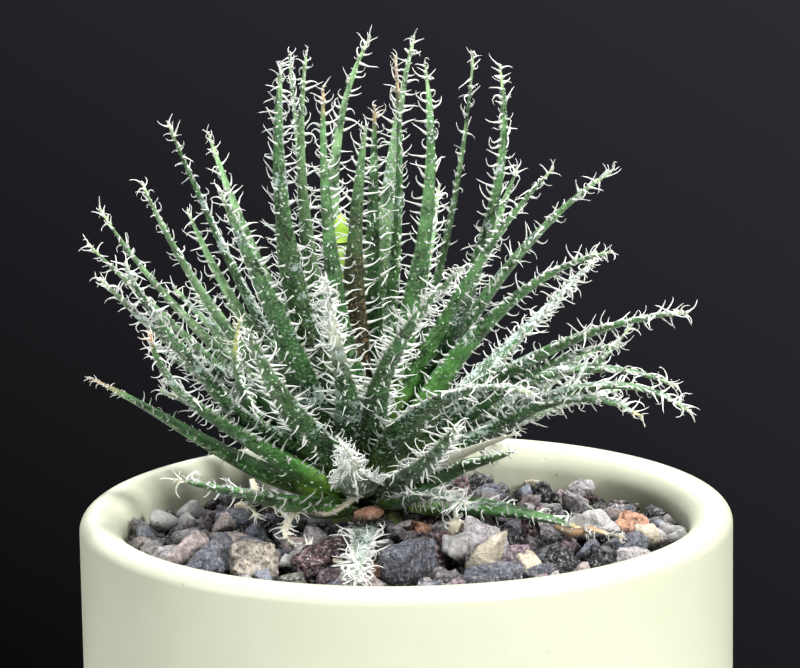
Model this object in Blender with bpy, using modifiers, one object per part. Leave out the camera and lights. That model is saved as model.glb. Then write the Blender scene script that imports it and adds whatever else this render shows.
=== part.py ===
"""Hairy dwarf aloe in a round glazed pot, with a topping of volcanic gravel.

The plan is drawn in millimetres and scaled to metres as each mesh is made.
The pot stands on z = 0 with its axis on Z.  Every leaf grows from the crown,
a small dome a little behind and to the left of the pot's axis.
"""

import math
from typing import NamedTuple

import bmesh
import bpy
import numpy as np

MM = 0.001

# Pot
POT_RADIUS = 40.0
POT_HEIGHT = 72.0
LIP_OUTER_ROUND = 1.9
LIP_INNER_ROUND = 3.35
WALL = LIP_OUTER_ROUND + LIP_INNER_ROUND
BORE_RADIUS = POT_RADIUS - WALL
BASE_ROUND = 3.0
FOOT_INNER_RADIUS = 29.0
FOOT_RECESS = 2.5
FOOT_SLOPE = 1.5
FLOOR_TOP = 8.0
FLOOR_FILLET = 4.0
DRAIN_RADIUS = 5.0
TURN_STEPS = 48

# Soil and gravel
CLEARANCE = 0.3
SOIL_DEPTH = 15.0
GRAVEL_DEPTH_FRONT = 3.2
GRAVEL_DEPTH_BACK = 4.6
GRAVEL_SLOPE_LENGTH = 30.0
GRAVEL_BUMP = 0.35
GRAVEL_BUMP_LENGTH = 5.5
GRAVEL_BUMP_SKEW = (0.6, -0.5)
GRAVEL_BUMP_SHIFT = 1.0
GRAVEL_RINGS = 8

# Crown, stem and root
CROWN_X, CROWN_Y = -4.6, 7.0
CROWN_DEPTH = 1.4
CROWN_RADIUS = 4.6
CROWN_HEIGHT = 7.5
COLLAR_DEPTH = 4.5
ROOT_STEPS = ((3.3, 9.0), (2.3, 16.0), (1.5, 27.0), (0.8, 40.0))
ROOT_TIP_DEPTH = 44.0

# Leaves
STATIONS = 12
CURVE_STEPS = 60
LEAF_SEAT = 0.45
LEAF_GAP = 0.25
THICKNESS_RATIO = 0.5
NECK_SHARE = 0.42
NECK_LENGTH = 0.16
NECK_POWER = 1.4
TAPER = 0.87
TAPER_POWER = 0.88
SWELL_SHARE = 0.62
SWELL_GAIN = 0.5
SWELL_LENGTH = 0.12
SWELL_POWER = 1.3
THINNING = 0.84
THINNING_POWER = 1.15
# Easing crowded leaves apart
SPREAD_ROUNDS = 260
SAMPLES_PER_STEP = 3
NEIGHBOUR_REACH = 6.5
NEIGHBOUR_ROUNDS = 12
PUSH_SHARE = 0.5
MOVE_GAIN = 1.6
MOST_MOVE = 0.5
GROUND_ROOM = 0.8
SEAT_DIP = 2.0
REACH = POT_RADIUS - 0.7
# Outline of a leaf's section, in half widths and half thicknesses: flat above, keeled below.
SECTION = ((1.0, 0.1), (0.45, 0.55), (-0.45, 0.55), (-1.0, 0.1), (-0.4, -0.75), (0.4, -0.75))


class Leaf(NamedTuple):
    """One leaf, planned by where its tip stands.

    The tip is given to the right of the pot's axis, behind it and above the rim, in
    millimetres.  Rises are degrees above level where the leaf leaves the crown and at its tip;
    past 90 it leans back.  Turn is how far, in degrees, its heading swings to either side of
    the straight way to the tip: it sets off that much clockwise and arrives that much
    anticlockwise.
    """

    tip: tuple
    rise: float
    tip_rise: float
    turn: float = 0.0
    width: float = 3.6


LEAVES = (
    # Inner leaves, nearly upright
    Leaf((-0.5, 9, 54.5), 80, 95),
    Leaf((2, 18, 56), 75, 70, -15),
    Leaf((-3.5, 16, 56), 72, 50, -40),
    Leaf((-13.5, 10, 55), 70, 85),
    Leaf((-11, -2, 57), 64, 105),
    Leaf((-9, -9, 54), 62, 100),
    Leaf((-4, -11, 49), 70, 65, 18, 4.0),
    Leaf((-3, -2, 50), 80, 80),
    Leaf((3, -8, 56), 65, 110, -4, 3.9),
    Leaf((18, -11, 43.5), 62, 42, 0, 4.4),
    Leaf((9, 4, 55.5), 68, 85),
    # Shoulder leaves, leaning out
    Leaf((34, 6, 13), 50, -30),
    Leaf((24.5, 22, 26.5), 40, 40, 0, 4.4),
    Leaf((15, 26, 38), 50, 60),
    Leaf((5, 36, 34), 45, 60),
    Leaf((-16, 33, 32), 45, 60),
    Leaf((-24, 18, 44), 58, 70),
    Leaf((-27, 20, 34), 45, 65),
    Leaf((-37, 5, 37), 45, 60),
    Leaf((-28, 0, 48), 55, 68),
    Leaf((-38, -7, 35), 40, 45),
    Leaf((-31, -6, 42), 48, 68),
    Leaf((-14, -5, 55.5), 55, 100),
    Leaf((-21.5, -12, 42), 55, 62, 0, 4.0),
    Leaf((-33, -13, 34), 38, 70, 0, 4.0),
    Leaf((-9, -22, 33), 48, 60, 0, 4.0),
    Leaf((7, -28, 35), 46, 35, 20, 2.4),
    Leaf((15, -28, 20), 42, -5, 10),
    Leaf((33, -24, 28.5), 42, 8, 0, 4.0),
    Leaf((26, -15, 23), 40, 10),
    Leaf((25, -14, 34), 55, 12, 0, 4.0),
    Leaf((12, -1, 55), 60, 100),
    Leaf((26.5, 5, 41), 60, 32, 0, 4.0),
    Leaf((28, 2, 22), 30, 55),
    # Skirt leaves, low over the rim and the gravel
    Leaf((5, 37, 12), 15, 30),
    Leaf((-8, 38, 19), 25, 40),
    Leaf((-27, 31, 22), 30, 45),
    Leaf((-39, 8, 15), 12, 25),
    Leaf((-19, -18, 28), 34, 60, 55, 4.0),
    Leaf((-36, -14, 32), 38, 45, 0, 4.0),
    Leaf((-30, -15, 25.5), 34, 80, 0, 4.0),
    Leaf((-27, -18, 8), 8, 15, -10),
    Leaf((-18, -26, 28), 35, 50, 5, 4.0),
    Leaf((-7, -31, 15), 20, 35),
    Leaf((-6, -31, -1), 0, 0),
    Leaf((6, -30, 17), 20, 35),
    Leaf((7, -20, 5), 16, 0),
    Leaf((13, -26, 15), 24, 20),
    Leaf((13, -14, 10), 24, 20),
    Leaf((28, -19, 15), 28, -25, 0, 4.0),
    Leaf((34, -17, 15), 33, -32),
    Leaf((22, -6, -2), 5, -15),
)

# Flower bud on its stalk: a pointed bud at the end of a thin stem.
BUD_STALK = Leaf((-7.5, 6, 35.5), 82, 88)
BUD_RADIUS = 1.15
STALK_RADIUS = 0.5
BUD_START = 0.72


class Litter(NamedTuple):
    """A dried leaf on the gravel, curling flat from its first point."""

    start: tuple
    azimuth: float
    sweep: float
    length: float
    width: float


DRIED_LEAF = Litter(start=(-9.5, -1.5), azimuth=192, sweep=118, length=17, width=2.2)
LITTER_LIFT = 0.45
LITTER_ARCH = 0.75
LITTER_THINNESS = 0.7


class Stone(NamedTuple):
    """A large stone bedded in the gravel: place, sizes along its own axes, turn and shape seed."""

    name: str
    place: tuple
    size: tuple
    yaw: float
    corners: int
    seed: int


STONES = (
    Stone("stone_dark_block", (-1.0, -20.5), (6.6, 5.4, 5.2), 20.0, 13, 3),
    Stone("stone_tan_round", (-18.5, -18.5), (6.8, 5.8, 5.0), -15.0, 18, 8),
)
STONE_SINK = 0.55
STONE_SQUARENESS = 0.6
STONE_POCKET = 0.35

# Principled colour (linear RGB) and roughness of each kind of piece.
GLAZE = ((0.70, 0.74, 0.60), 0.25)
SOIL = ((0.045, 0.030, 0.020), 0.95)
GRAVEL = ((0.13, 0.12, 0.13), 0.90)
LEAF_GREEN = ((0.055, 0.150, 0.060), 0.50)
CROWN_GREEN = ((0.160, 0.260, 0.060), 0.55)
BUD_GREEN = ((0.420, 0.620, 0.080), 0.45)
DRY_TAN = ((0.420, 0.300, 0.170), 0.80)
STONE_COLOURS = (
    ((0.085, 0.095, 0.120), 0.85),
    ((0.330, 0.260, 0.170), 0.90),
)


def clear_scene():
    """Remove every object that the scene starts with."""
    for old in list(bpy.data.objects):
        bpy.data.objects.remove(old, do_unlink=True)


def new_collection(name):
    """Make a collection in the scene."""
    collection = bpy.data.collections.new(name)
    bpy.context.scene.collection.children.link(collection)
    return collection


def principled(name, finish):
    """Make a plain material from a colour and a roughness."""
    colour, roughness = finish
    material = bpy.data.materials.new(name)
    material.use_nodes = True
    shader = material.node_tree.nodes["Principled BSDF"]
    shader.inputs["Base Color"].default_value = (*colour, 1.0)
    shader.inputs["Roughness"].default_value = roughness
    shader.inputs["Metallic"].default_value = 0.0
    return material


def add_object(name, mesh, collection, finish):
    """Put a mesh in the scene as a named piece with its own material."""
    piece = bpy.data.objects.new(name, mesh)
    collection.objects.link(piece)
    mesh.materials.append(principled(name, finish))
    mesh.shade_smooth()
    mesh.set_sharp_from_angle(angle=math.radians(35.0))
    return piece


def make_cutter(piece):
    """Keep a piece out of the model, as a cutter."""
    piece.hide_render = True
    piece.display_type = "WIRE"


def cut_away(piece, cutter):
    """Cut one piece with another, with the exact solver."""
    cut = piece.modifiers.new("cut_" + cutter.name, "BOOLEAN")
    cut.operation = "DIFFERENCE"
    cut.solver = "EXACT"
    cut.object = cutter


def arc(centre, radius, start, end, steps):
    """Points (r, z) along an arc, its angles in degrees from +r towards +z."""
    angles = np.radians(np.linspace(start, end, steps + 1))
    return [(centre[0] + radius * math.cos(a), centre[1] + radius * math.sin(a)) for a in angles]


def turned(name, profile, collection, finish, closed, axis=(0.0, 0.0)):
    """A turned piece: a profile of (r, z) points carried round an upright axis by a Screw."""
    mesh = bpy.data.meshes.new(name)
    points = [(r * MM, 0.0, z * MM) for r, z in profile]
    edges = [(i, i + 1) for i in range(len(points) - 1)]
    if closed:
        edges.append((len(points) - 1, 0))
    mesh.from_pydata(points, edges, [])
    piece = add_object(name, mesh, collection, finish)
    piece.location = (axis[0] * MM, axis[1] * MM, 0.0)
    screw = piece.modifiers.new("turn", "SCREW")
    screw.axis = "Z"
    screw.steps = TURN_STEPS
    screw.render_steps = TURN_STEPS
    screw.use_merge_vertices = True
    screw.merge_threshold = 0.00001
    screw.use_smooth_shade = True
    return piece


def evaluated_copy(piece):
    """Replace a piece's mesh by the one that its modifiers make, and drop the modifiers."""
    graph = bpy.context.evaluated_depsgraph_get()
    graph.update()
    mesh = bpy.data.meshes.new_from_object(piece.evaluated_get(graph))
    piece.modifiers.clear()
    piece.data = mesh
    return piece


def pot_profile():
    """Outline of the pot's wall, from the top of the lip down the outside and back up the inside."""
    top = POT_HEIGHT
    outer_lip = arc((POT_RADIUS - LIP_OUTER_ROUND, top - LIP_OUTER_ROUND), LIP_OUTER_ROUND, 90, 0, 4)
    base = arc((POT_RADIUS - BASE_ROUND, BASE_ROUND), BASE_ROUND, 0, -90, 3)
    foot = [(FOOT_INNER_RADIUS, 0.0), (FOOT_INNER_RADIUS - FOOT_SLOPE, FOOT_RECESS)]
    drain = [(DRAIN_RADIUS, FOOT_RECESS), (DRAIN_RADIUS, FLOOR_TOP)]
    fillet = arc((BORE_RADIUS - FLOOR_FILLET, FLOOR_TOP + FLOOR_FILLET), FLOOR_FILLET, -90, 0, 3)
    inner_lip = arc((POT_RADIUS - LIP_OUTER_ROUND, top - LIP_INNER_ROUND), LIP_INNER_ROUND, 180, 90, 5)
    return outer_lip + base + foot + drain + fillet + inner_lip[:-1]


def soil_profile():
    """Outline of the soil, a plug that fills the bore from the floor to under the gravel."""
    top = POT_HEIGHT - SOIL_DEPTH
    radius = BORE_RADIUS - CLEARANCE
    bottom = FLOOR_TOP + CLEARANCE
    corner = arc((radius - FLOOR_FILLET, bottom + FLOOR_FILLET), FLOOR_FILLET, 0, -90, 3)
    return [(0.0, top), (radius, top)] + corner + [(0.0, bottom)]


def gravel_profile():
    """Outline of the gravel before its top is shaped: rings on top, a flat underside."""
    bottom = POT_HEIGHT - SOIL_DEPTH + CLEARANCE
    radius = BORE_RADIUS - CLEARANCE
    top = POT_HEIGHT
    rings = [(radius * i / GRAVEL_RINGS, top) for i in range(GRAVEL_RINGS + 1)]
    return rings + [(radius, bottom), (0.0, bottom)]


def gravel_level(x, y):
    """Height of the gravel: near the lip in front, falling away smoothly behind the crown."""
    t = np.clip(y / GRAVEL_SLOPE_LENGTH, 0.0, 1.0)
    depth = GRAVEL_DEPTH_FRONT + (GRAVEL_DEPTH_BACK - GRAVEL_DEPTH_FRONT) * t * t * (3.0 - 2.0 * t)
    return POT_HEIGHT - depth


def gravel_bumps(x, y):
    """Gentle humps and hollows of the bed, the product of two crossed waves."""
    k = 2.0 * math.pi / GRAVEL_BUMP_LENGTH
    first, second = GRAVEL_BUMP_SKEW
    return GRAVEL_BUMP * np.sin(k * (x + first * y)) * np.sin(k * (y + second * x) + GRAVEL_BUMP_SHIFT)


def crown_centre():
    """Centre of the crown's dome."""
    return np.array([CROWN_X, CROWN_Y, POT_HEIGHT - CROWN_DEPTH])


def stem_profile(margin=0.0):
    """Outline of the crown dome, the collar below it and the tapering root, about the plant's axis."""
    centre = POT_HEIGHT - CROWN_DEPTH
    angles = np.radians(np.linspace(90.0, 0.0, 7))
    dome = [
        ((CROWN_RADIUS + margin) * max(math.cos(a), 0.0), centre + (CROWN_HEIGHT + margin) * math.sin(a))
        for a in angles
    ]
    dome[0] = (0.0, dome[0][1])
    collar = [(CROWN_RADIUS + margin, POT_HEIGHT - COLLAR_DEPTH)]
    root = [(radius + margin, POT_HEIGHT - depth) for radius, depth in ROOT_STEPS]
    tip = [(0.0, POT_HEIGHT - ROOT_TIP_DEPTH - margin)]
    return dome + collar + root + tip


def heading_of(azimuth, rise):
    """Unit directions for azimuths and rises in degrees."""
    around, up = np.radians(azimuth), np.radians(rise)
    return np.stack([np.cos(up) * np.cos(around), np.cos(up) * np.sin(around), np.sin(up)], -1)


def leaf_paths(leaves):
    """Middle line of each leaf, and the azimuth at which it leaves the crown.

    The line is a cubic curve from a seat on the crown to the tip.  Its two handles point along
    the first and the last heading, each a third of the straight way long.  It is then cut into
    STATIONS equal steps.
    """
    tips = np.array([leaf.tip for leaf in leaves], dtype=float) + [0.0, 0.0, POT_HEIGHT]
    rise, tip_rise, turn = np.array([leaf[1:4] for leaf in leaves], dtype=float).T
    way = tips - crown_centre()
    straight = np.degrees(np.arctan2(way[:, 1], way[:, 0]))
    azimuth = straight - turn
    up = np.clip(rise, 0.0, 90.0)
    seat_size = np.array([CROWN_RADIUS, CROWN_RADIUS, CROWN_HEIGHT]) + LEAF_SEAT
    seats = crown_centre() + seat_size * heading_of(azimuth, up)
    third = np.linalg.norm(tips - seats, axis=1, keepdims=True) / 3.0
    first = seats + third * heading_of(azimuth, rise)
    last = tips - third * heading_of(straight + turn, tip_rise)
    t = np.linspace(0.0, 1.0, CURVE_STEPS + 1)[None, :, None]
    curve = (
        (1 - t) ** 3 * seats[:, None]
        + 3 * t * (1 - t) ** 2 * first[:, None]
        + 3 * t**2 * (1 - t) * last[:, None]
        + t**3 * tips[:, None]
    )
    paths = np.empty((len(leaves), STATIONS + 1, 3))
    for path, line in zip(paths, curve):
        run = np.concatenate([[0.0], np.cumsum(np.linalg.norm(np.diff(line, axis=0), axis=1))])
        even = np.linspace(0.0, run[-1], STATIONS + 1)
        path[:] = np.column_stack([np.interp(even, run, line[:, k]) for k in range(3)])
    return paths, azimuth


def half_widths(s, width):
    """Half width along a leaf: a neck at the base, widest near a quarter, then an even taper."""
    neck = NECK_SHARE + (1.0 - NECK_SHARE) * (1.0 - np.exp(-((s / NECK_LENGTH) ** NECK_POWER)))
    past_neck = np.clip((s - NECK_LENGTH) / (1.0 - NECK_LENGTH), 0.0, 1.0)
    return 0.5 * width * neck * (1.0 - TAPER * past_neck**TAPER_POWER)


def half_thicknesses(s, width):
    """Half thickness along a leaf, thickest near the base."""
    swell = SWELL_SHARE + SWELL_GAIN * (1.0 - np.exp(-((s / SWELL_LENGTH) ** SWELL_POWER)))
    return 0.5 * width * THICKNESS_RATIO * swell * (1.0 - THINNING * s**THINNING_POWER)


def bud_radii(s):
    """Radius along the flower bud and its stalk: thin, then a pointed drop at the end."""
    t = np.clip((s - BUD_START) / (1.0 - BUD_START), 0.0, 1.0)
    return STALK_RADIUS + (BUD_RADIUS - STALK_RADIUS) * np.sin(np.pi * t**1.4) ** 0.8 - 0.2 * t**3


def frames(paths, azimuths):
    """Tangent, width direction and upper side at each station of each path."""
    tangent = np.gradient(paths, axis=1)
    tangent /= np.linalg.norm(tangent, axis=2, keepdims=True)
    angle = np.radians(azimuths)[:, None]
    level = np.stack([-np.sin(angle), np.cos(angle), 0.0 * angle], -1)
    across = level - (level * tangent).sum(-1, keepdims=True) * tangent
    across /= np.linalg.norm(across, axis=2, keepdims=True)
    return tangent, across, np.cross(tangent, across)


def smoothed(moves):
    """Moves averaged along each leaf, so that a push bends it and doesn't kink it."""
    for _ in range(2):
        soft = moves.copy()
        soft[:, 1:-1] = (moves[:, :-2] + 2.0 * moves[:, 1:-1] + moves[:, 2:]) / 4.0
        soft[:, 0] = (moves[:, 0] + moves[:, 1]) / 2.0
        soft[:, -1] = (moves[:, -2] + moves[:, -1]) / 2.0
        moves = soft
    return moves


def seated(bases):
    """Leaf bases brought back onto the crown's dome."""
    offset = bases - crown_centre()
    offset[:, 2] = np.maximum(offset[:, 2], 0.0)
    level = (offset[:, 0] ** 2 + offset[:, 1] ** 2) / (CROWN_RADIUS + LEAF_SEAT) ** 2
    height = offset[:, 2] ** 2 / (CROWN_HEIGHT + LEAF_SEAT) ** 2
    return crown_centre() + offset / np.sqrt(level + height)[:, None]


def near_pairs(samples, owner, reach):
    """Pairs of sample points on different leaves that lie within reach of each other."""
    square = (samples**2).sum(1)
    apart = square[:, None] + square[None, :] - 2.0 * samples @ samples.T
    first, second = np.nonzero(np.triu(apart < reach**2, 1))
    other = owner[first] != owner[second]
    return first[other], second[other]


def spread_apart(paths, azimuths, widths, thicknesses):
    """Ease crowded leaves apart until each clears its neighbours.

    Each leaf is a chain of ellipsoids as wide and thick as the leaf.  Two that come closer than
    their sizes along the line between them, plus LEAF_GAP, push each other away.  After each
    round the leaves get back their lengths, their seats on the crown and their room over the
    gravel.
    """
    count = len(paths)
    samples_each = STATIONS * SAMPLES_PER_STEP + 1
    along = np.arange(samples_each) / SAMPLES_PER_STEP
    lower = np.minimum(along.astype(int), STATIONS - 1)
    blend = np.zeros((samples_each, STATIONS + 1))
    blend[np.arange(samples_each), lower] = 1.0 - (along - lower)
    blend[np.arange(samples_each), lower + 1] += along - lower
    weight = blend.sum(0)
    half_a = (widths @ blend.T).ravel()
    half_b = (thicknesses @ blend.T).ravel()
    steps = np.linalg.norm(np.diff(paths, axis=1), axis=2)
    half_c = np.repeat(steps[:, :1] / SAMPLES_PER_STEP * 0.6, samples_each, 1).ravel()
    owner = np.repeat(np.arange(count), samples_each)
    paths = paths.copy()

    def spread_out(values):
        return np.einsum("mk,nkd->nmd", blend, values).reshape(-1, 3)

    for round_number in range(SPREAD_ROUNDS):
        samples = spread_out(paths)
        if round_number % NEIGHBOUR_ROUNDS == 0:
            first, second = near_pairs(samples, owner, NEIGHBOUR_REACH)
        tangent, across, upper = [spread_out(v) for v in frames(paths, azimuths)]
        line = samples[second] - samples[first]
        apart = np.linalg.norm(line, axis=1) + 1e-9
        line /= apart[:, None]

        def reach_of(index):
            a = half_a[index] * (line * across[index]).sum(1)
            b = half_b[index] * (line * upper[index]).sum(1)
            c = half_c[index] * (line * tangent[index]).sum(1)
            return np.sqrt(a * a + b * b + c * c)

        short = reach_of(first) + reach_of(second) + LEAF_GAP - apart
        close = short > 0.0
        push = PUSH_SHARE * line[close] * (short[close] ** 2)[:, None]
        total = np.zeros_like(samples)
        load = np.zeros(len(samples))
        np.add.at(total, first[close], -push)
        np.add.at(total, second[close], push)
        np.add.at(load, first[close], short[close])
        np.add.at(load, second[close], short[close])
        total = (total / np.maximum(load, 1e-6)[:, None]).reshape(count, samples_each, 3)
        moves = smoothed(np.einsum("mk,nmd->nkd", blend, total) / weight[None, :, None] * MOVE_GAIN)
        size = np.linalg.norm(moves, axis=2, keepdims=True)
        paths += moves * np.minimum(1.0, MOST_MOVE / np.maximum(size, 1e-9))
        ground = gravel_level(paths[..., 0], paths[..., 1]) + GROUND_ROOM * (1.0 + thicknesses)
        ground[:, 0] -= SEAT_DIP
        paths[..., 2] = np.maximum(paths[..., 2], ground)
        paths[..., :2] = np.clip(paths[..., :2], -REACH, REACH)
        paths[:, 0] = seated(paths[:, 0])
        for k in range(STATIONS):
            step = paths[:, k + 1] - paths[:, k]
            step /= np.linalg.norm(step, axis=1, keepdims=True)
            paths[:, k + 1] = paths[:, k] + step * steps[:, k : k + 1]
    return paths


def loft(name, path, azimuth, halves, section, collection, finish):
    """A closed loft: one section ring at each station but the last, which is the tip."""
    tangent, across, upper = [v[0] for v in frames(path[None], np.array([azimuth]))]
    outline = np.array(section)
    wide, thick = halves
    rings = (
        path[:-1, None]
        + across[:-1, None] * (outline[None, :, :1] * wide[:-1, None, None])
        + upper[:-1, None] * (outline[None, :, 1:] * thick[:-1, None, None])
    )
    count = len(section)
    build = bmesh.new()
    rows = [[build.verts.new(point * MM) for point in ring] for ring in rings]
    tip = build.verts.new(path[-1] * MM)
    for low, high in zip(rows, rows[1:]):
        for i in range(count):
            j = (i + 1) % count
            build.faces.new((low[i], low[j], high[j], high[i]))
    for i in range(count):
        build.faces.new((rows[-1][i], rows[-1][(i + 1) % count], tip))
    build.faces.new(rows[0][::-1])
    bmesh.ops.recalc_face_normals(build, faces=build.faces[:])
    bmesh.ops.triangulate(build, faces=build.faces[:])
    mesh = bpy.data.meshes.new(name)
    build.to_mesh(mesh)
    build.free()
    return add_object(name, mesh, collection, finish)


def build_pot(collection):
    """The pot, with its rounded lip, foot ring and drain hole."""
    return turned("pot", pot_profile(), collection, GLAZE, closed=True)


def build_soil(collection, root_cutter):
    """The potting soil, with room for the root."""
    soil = turned("potting_soil", soil_profile(), collection, SOIL, closed=False)
    cut_away(soil, root_cutter)
    return soil


def build_gravel(collection, root_cutter, pockets):
    """The gravel bed: a turned slab with a bumpy, sloping top, pierced for the stem."""
    bed = evaluated_copy(turned("gravel_bed", gravel_profile(), collection, GRAVEL, closed=False))
    points = np.empty(len(bed.data.vertices) * 3)
    bed.data.vertices.foreach_get("co", points)
    points = points.reshape(-1, 3) / MM
    top = points[:, 2] > POT_HEIGHT - SOIL_DEPTH + 1.0
    x, y = points[top, 0], points[top, 1]
    points[top, 2] = gravel_level(x, y) + gravel_bumps(x, y)
    bed.data.vertices.foreach_set("co", (points * MM).ravel())
    bed.data.update()
    cut_away(bed, root_cutter)
    for pocket in pockets:
        cut_away(bed, pocket)
    return bed


def build_stem(collection, cutters):
    """The crown, stem and root as one piece, and the cutter that makes room for it."""
    axis = (CROWN_X, CROWN_Y)
    turned("stem_and_root", stem_profile(), collection, CROWN_GREEN, closed=False, axis=axis)
    cutter = turned("root_cutter", stem_profile(CLEARANCE), cutters, SOIL, closed=False, axis=axis)
    make_cutter(cutter)
    return cutter


def stone_points(stone):
    """Corners of a chipped stone: seeded points between a ball and a box, turned about Z and set in place."""
    draw = np.random.default_rng(stone.seed)
    corners = draw.normal(size=(stone.corners, 3))
    box = np.abs(corners).max(axis=1, keepdims=True)
    ball = np.linalg.norm(corners, axis=1, keepdims=True)
    corners /= box**STONE_SQUARENESS * ball ** (1.0 - STONE_SQUARENESS)
    corners *= np.array(stone.size) / (corners.max(axis=0) - corners.min(axis=0))
    corners -= (corners.max(axis=0) + corners.min(axis=0)) / 2.0
    yaw = math.radians(stone.yaw)
    turn = np.array([[math.cos(yaw), -math.sin(yaw), 0], [math.sin(yaw), math.cos(yaw), 0], [0, 0, 1]])
    height = gravel_level(*stone.place) + stone.size[2] * (0.5 - STONE_SINK)
    return corners @ turn.T, np.array([*stone.place, height])


def hull(name, corners, centre, scale, collection, finish):
    """A convex stone through its corners, grown about its centre by a scale."""
    build = bmesh.new()
    for corner in corners:
        build.verts.new((corner * scale + centre) * MM)
    made = bmesh.ops.convex_hull(build, input=build.verts[:])
    loose = [v for v in made["geom_interior"] + made["geom_unused"] if isinstance(v, bmesh.types.BMVert)]
    bmesh.ops.delete(build, geom=loose, context="VERTS")
    bmesh.ops.recalc_face_normals(build, faces=build.faces[:])
    mesh = bpy.data.meshes.new(name)
    build.to_mesh(mesh)
    build.free()
    return add_object(name, mesh, collection, finish)


def build_stones(collection, cutters):
    """The large stones, and the cutters that make their pockets in the gravel."""
    pockets = []
    for stone, finish in zip(STONES, STONE_COLOURS):
        corners, centre = stone_points(stone)
        hull(stone.name, corners, centre, 1.0, collection, finish)
        grown = 1.0 + 2.0 * STONE_POCKET / min(stone.size)
        pocket = hull(stone.name + "_pocket", corners, centre, grown, cutters, finish)
        make_cutter(pocket)
        pockets.append(pocket)
    return pockets


def build_dried_leaf(collection):
    """A dried leaf that lies on the gravel, curled on its side."""
    s = np.arange(STATIONS + 1) / STATIONS
    heading = np.radians(DRIED_LEAF.azimuth + DRIED_LEAF.sweep * (s[:-1] + 0.5 / STATIONS))
    steps = np.stack([np.cos(heading), np.sin(heading)], -1) * DRIED_LEAF.length / STATIONS
    flat = np.vstack([[DRIED_LEAF.start], DRIED_LEAF.start + np.cumsum(steps, axis=0)])
    rise = LITTER_LIFT + LITTER_ARCH * np.sin(math.pi * s)
    path = np.column_stack([flat, gravel_level(flat[:, 0], flat[:, 1]) + GRAVEL_BUMP + rise])
    halves = (half_widths(s, DRIED_LEAF.width), LITTER_THINNESS * half_thicknesses(s, DRIED_LEAF.width))
    loft("dried_leaf", path, DRIED_LEAF.azimuth, halves, SECTION, collection, DRY_TAN)


def build_rosette(collection):
    """Every living leaf and the flower bud, eased apart together."""
    s = np.arange(STATIONS + 1) / STATIONS
    plants = list(LEAVES) + [BUD_STALK]
    plans, azimuths = leaf_paths(plants)
    wide = np.array([half_widths(s, leaf.width) for leaf in LEAVES] + [bud_radii(s)])
    thick = np.array([half_thicknesses(s, leaf.width) for leaf in LEAVES] + [bud_radii(s)])
    paths = spread_apart(plans, azimuths, wide, thick)
    for number, path in enumerate(paths[:-1], start=1):
        halves = (wide[number - 1], thick[number - 1])
        loft(f"leaf_{number:02d}", path, azimuths[number - 1], halves, SECTION, collection, LEAF_GREEN)
    angles = np.radians(np.arange(0.0, 360.0, 60.0))
    circle = [(math.cos(a), math.sin(a)) for a in angles]
    loft("flower_bud", paths[-1], azimuths[-1], (wide[-1], thick[-1]), circle, collection, BUD_GREEN)


def main():
    """Build the whole potted plant."""
    clear_scene()
    plant = new_collection("potted_aloe")
    cutters = new_collection("cutters")
    build_pot(plant)
    root_cutter = build_stem(plant, cutters)
    build_soil(plant, root_cutter)
    pockets = build_stones(plant, cutters)
    build_gravel(plant, root_cutter, pockets)
    build_rosette(plant)
    build_dried_leaf(plant)


main()
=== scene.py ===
"""A hairy dwarf aloe in a pale glazed pot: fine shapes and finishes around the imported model."""

import logging
import math
from dataclasses import dataclass, field, fields, replace
from enum import Enum
from typing import Any, NamedTuple

import bpy
import numpy as np
from mathutils import Matrix, Vector
from numpy.typing import NDArray


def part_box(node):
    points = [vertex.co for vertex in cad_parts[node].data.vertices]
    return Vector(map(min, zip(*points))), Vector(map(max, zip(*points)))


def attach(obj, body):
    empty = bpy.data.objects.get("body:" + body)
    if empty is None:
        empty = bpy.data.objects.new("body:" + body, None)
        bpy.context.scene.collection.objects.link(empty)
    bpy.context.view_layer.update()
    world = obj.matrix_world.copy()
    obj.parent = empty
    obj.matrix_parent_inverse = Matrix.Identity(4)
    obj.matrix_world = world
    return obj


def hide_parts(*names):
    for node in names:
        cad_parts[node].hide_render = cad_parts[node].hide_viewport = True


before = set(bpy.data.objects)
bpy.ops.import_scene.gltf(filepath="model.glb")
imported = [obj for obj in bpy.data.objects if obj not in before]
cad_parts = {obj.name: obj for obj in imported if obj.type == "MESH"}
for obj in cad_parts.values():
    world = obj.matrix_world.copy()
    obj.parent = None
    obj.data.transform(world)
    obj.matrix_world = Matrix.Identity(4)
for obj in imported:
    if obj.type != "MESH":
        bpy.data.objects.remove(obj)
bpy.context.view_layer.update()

Array = NDArray[np.float64]
Index = NDArray[np.int64]
Colour = tuple[float, float, float]

MM = 0.001
BAKE_MAP = "OFBake"
MAP_CORNER = np.array([[0.01, 0.01]])
MAP_SPAN = np.array([0.98, 0.98])
LOG = logging.getLogger("aloe")


def eased(low: float, high: float, value: Array) -> Array:
    """0 below low, 1 above high and 3t^2 - 2t^3 between, with t the share of the way."""
    t = np.clip((value - low) / (high - low), 0.0, 1.0)
    return t * t * (3.0 - 2.0 * t)


def unit(vectors: Array) -> Array:
    """Vectors divided by their lengths."""
    return vectors / np.maximum(np.linalg.norm(vectors, axis=-1, keepdims=True), 1e-12)


def linear(red: int, green: int, blue: int) -> Colour:
    """A colour written as three steps of 255, as the renderer's linear numbers.

    Args:
        red: Steps of red.
        green: Steps of green.
        blue: Steps of blue.

    Returns:
        The shares of red, green and blue light.
    """
    steps = np.array([red, green, blue]) / 255.0
    low = steps / 12.92
    high = ((steps + 0.055) / 1.055) ** 2.4
    return tuple(float(v) for v in np.where(steps <= 0.04045, low, high))


def blended(first: Array, second: Array, share: Array) -> Array:
    """Colours mixed row by row: first where share is 0, second where it is 1."""
    return first + (second - first) * share[..., None]


def corners_of(count: int) -> Array:
    """Angles of a regular polygon's corners, in radians."""
    return 2 * math.pi * np.arange(count) / count


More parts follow.
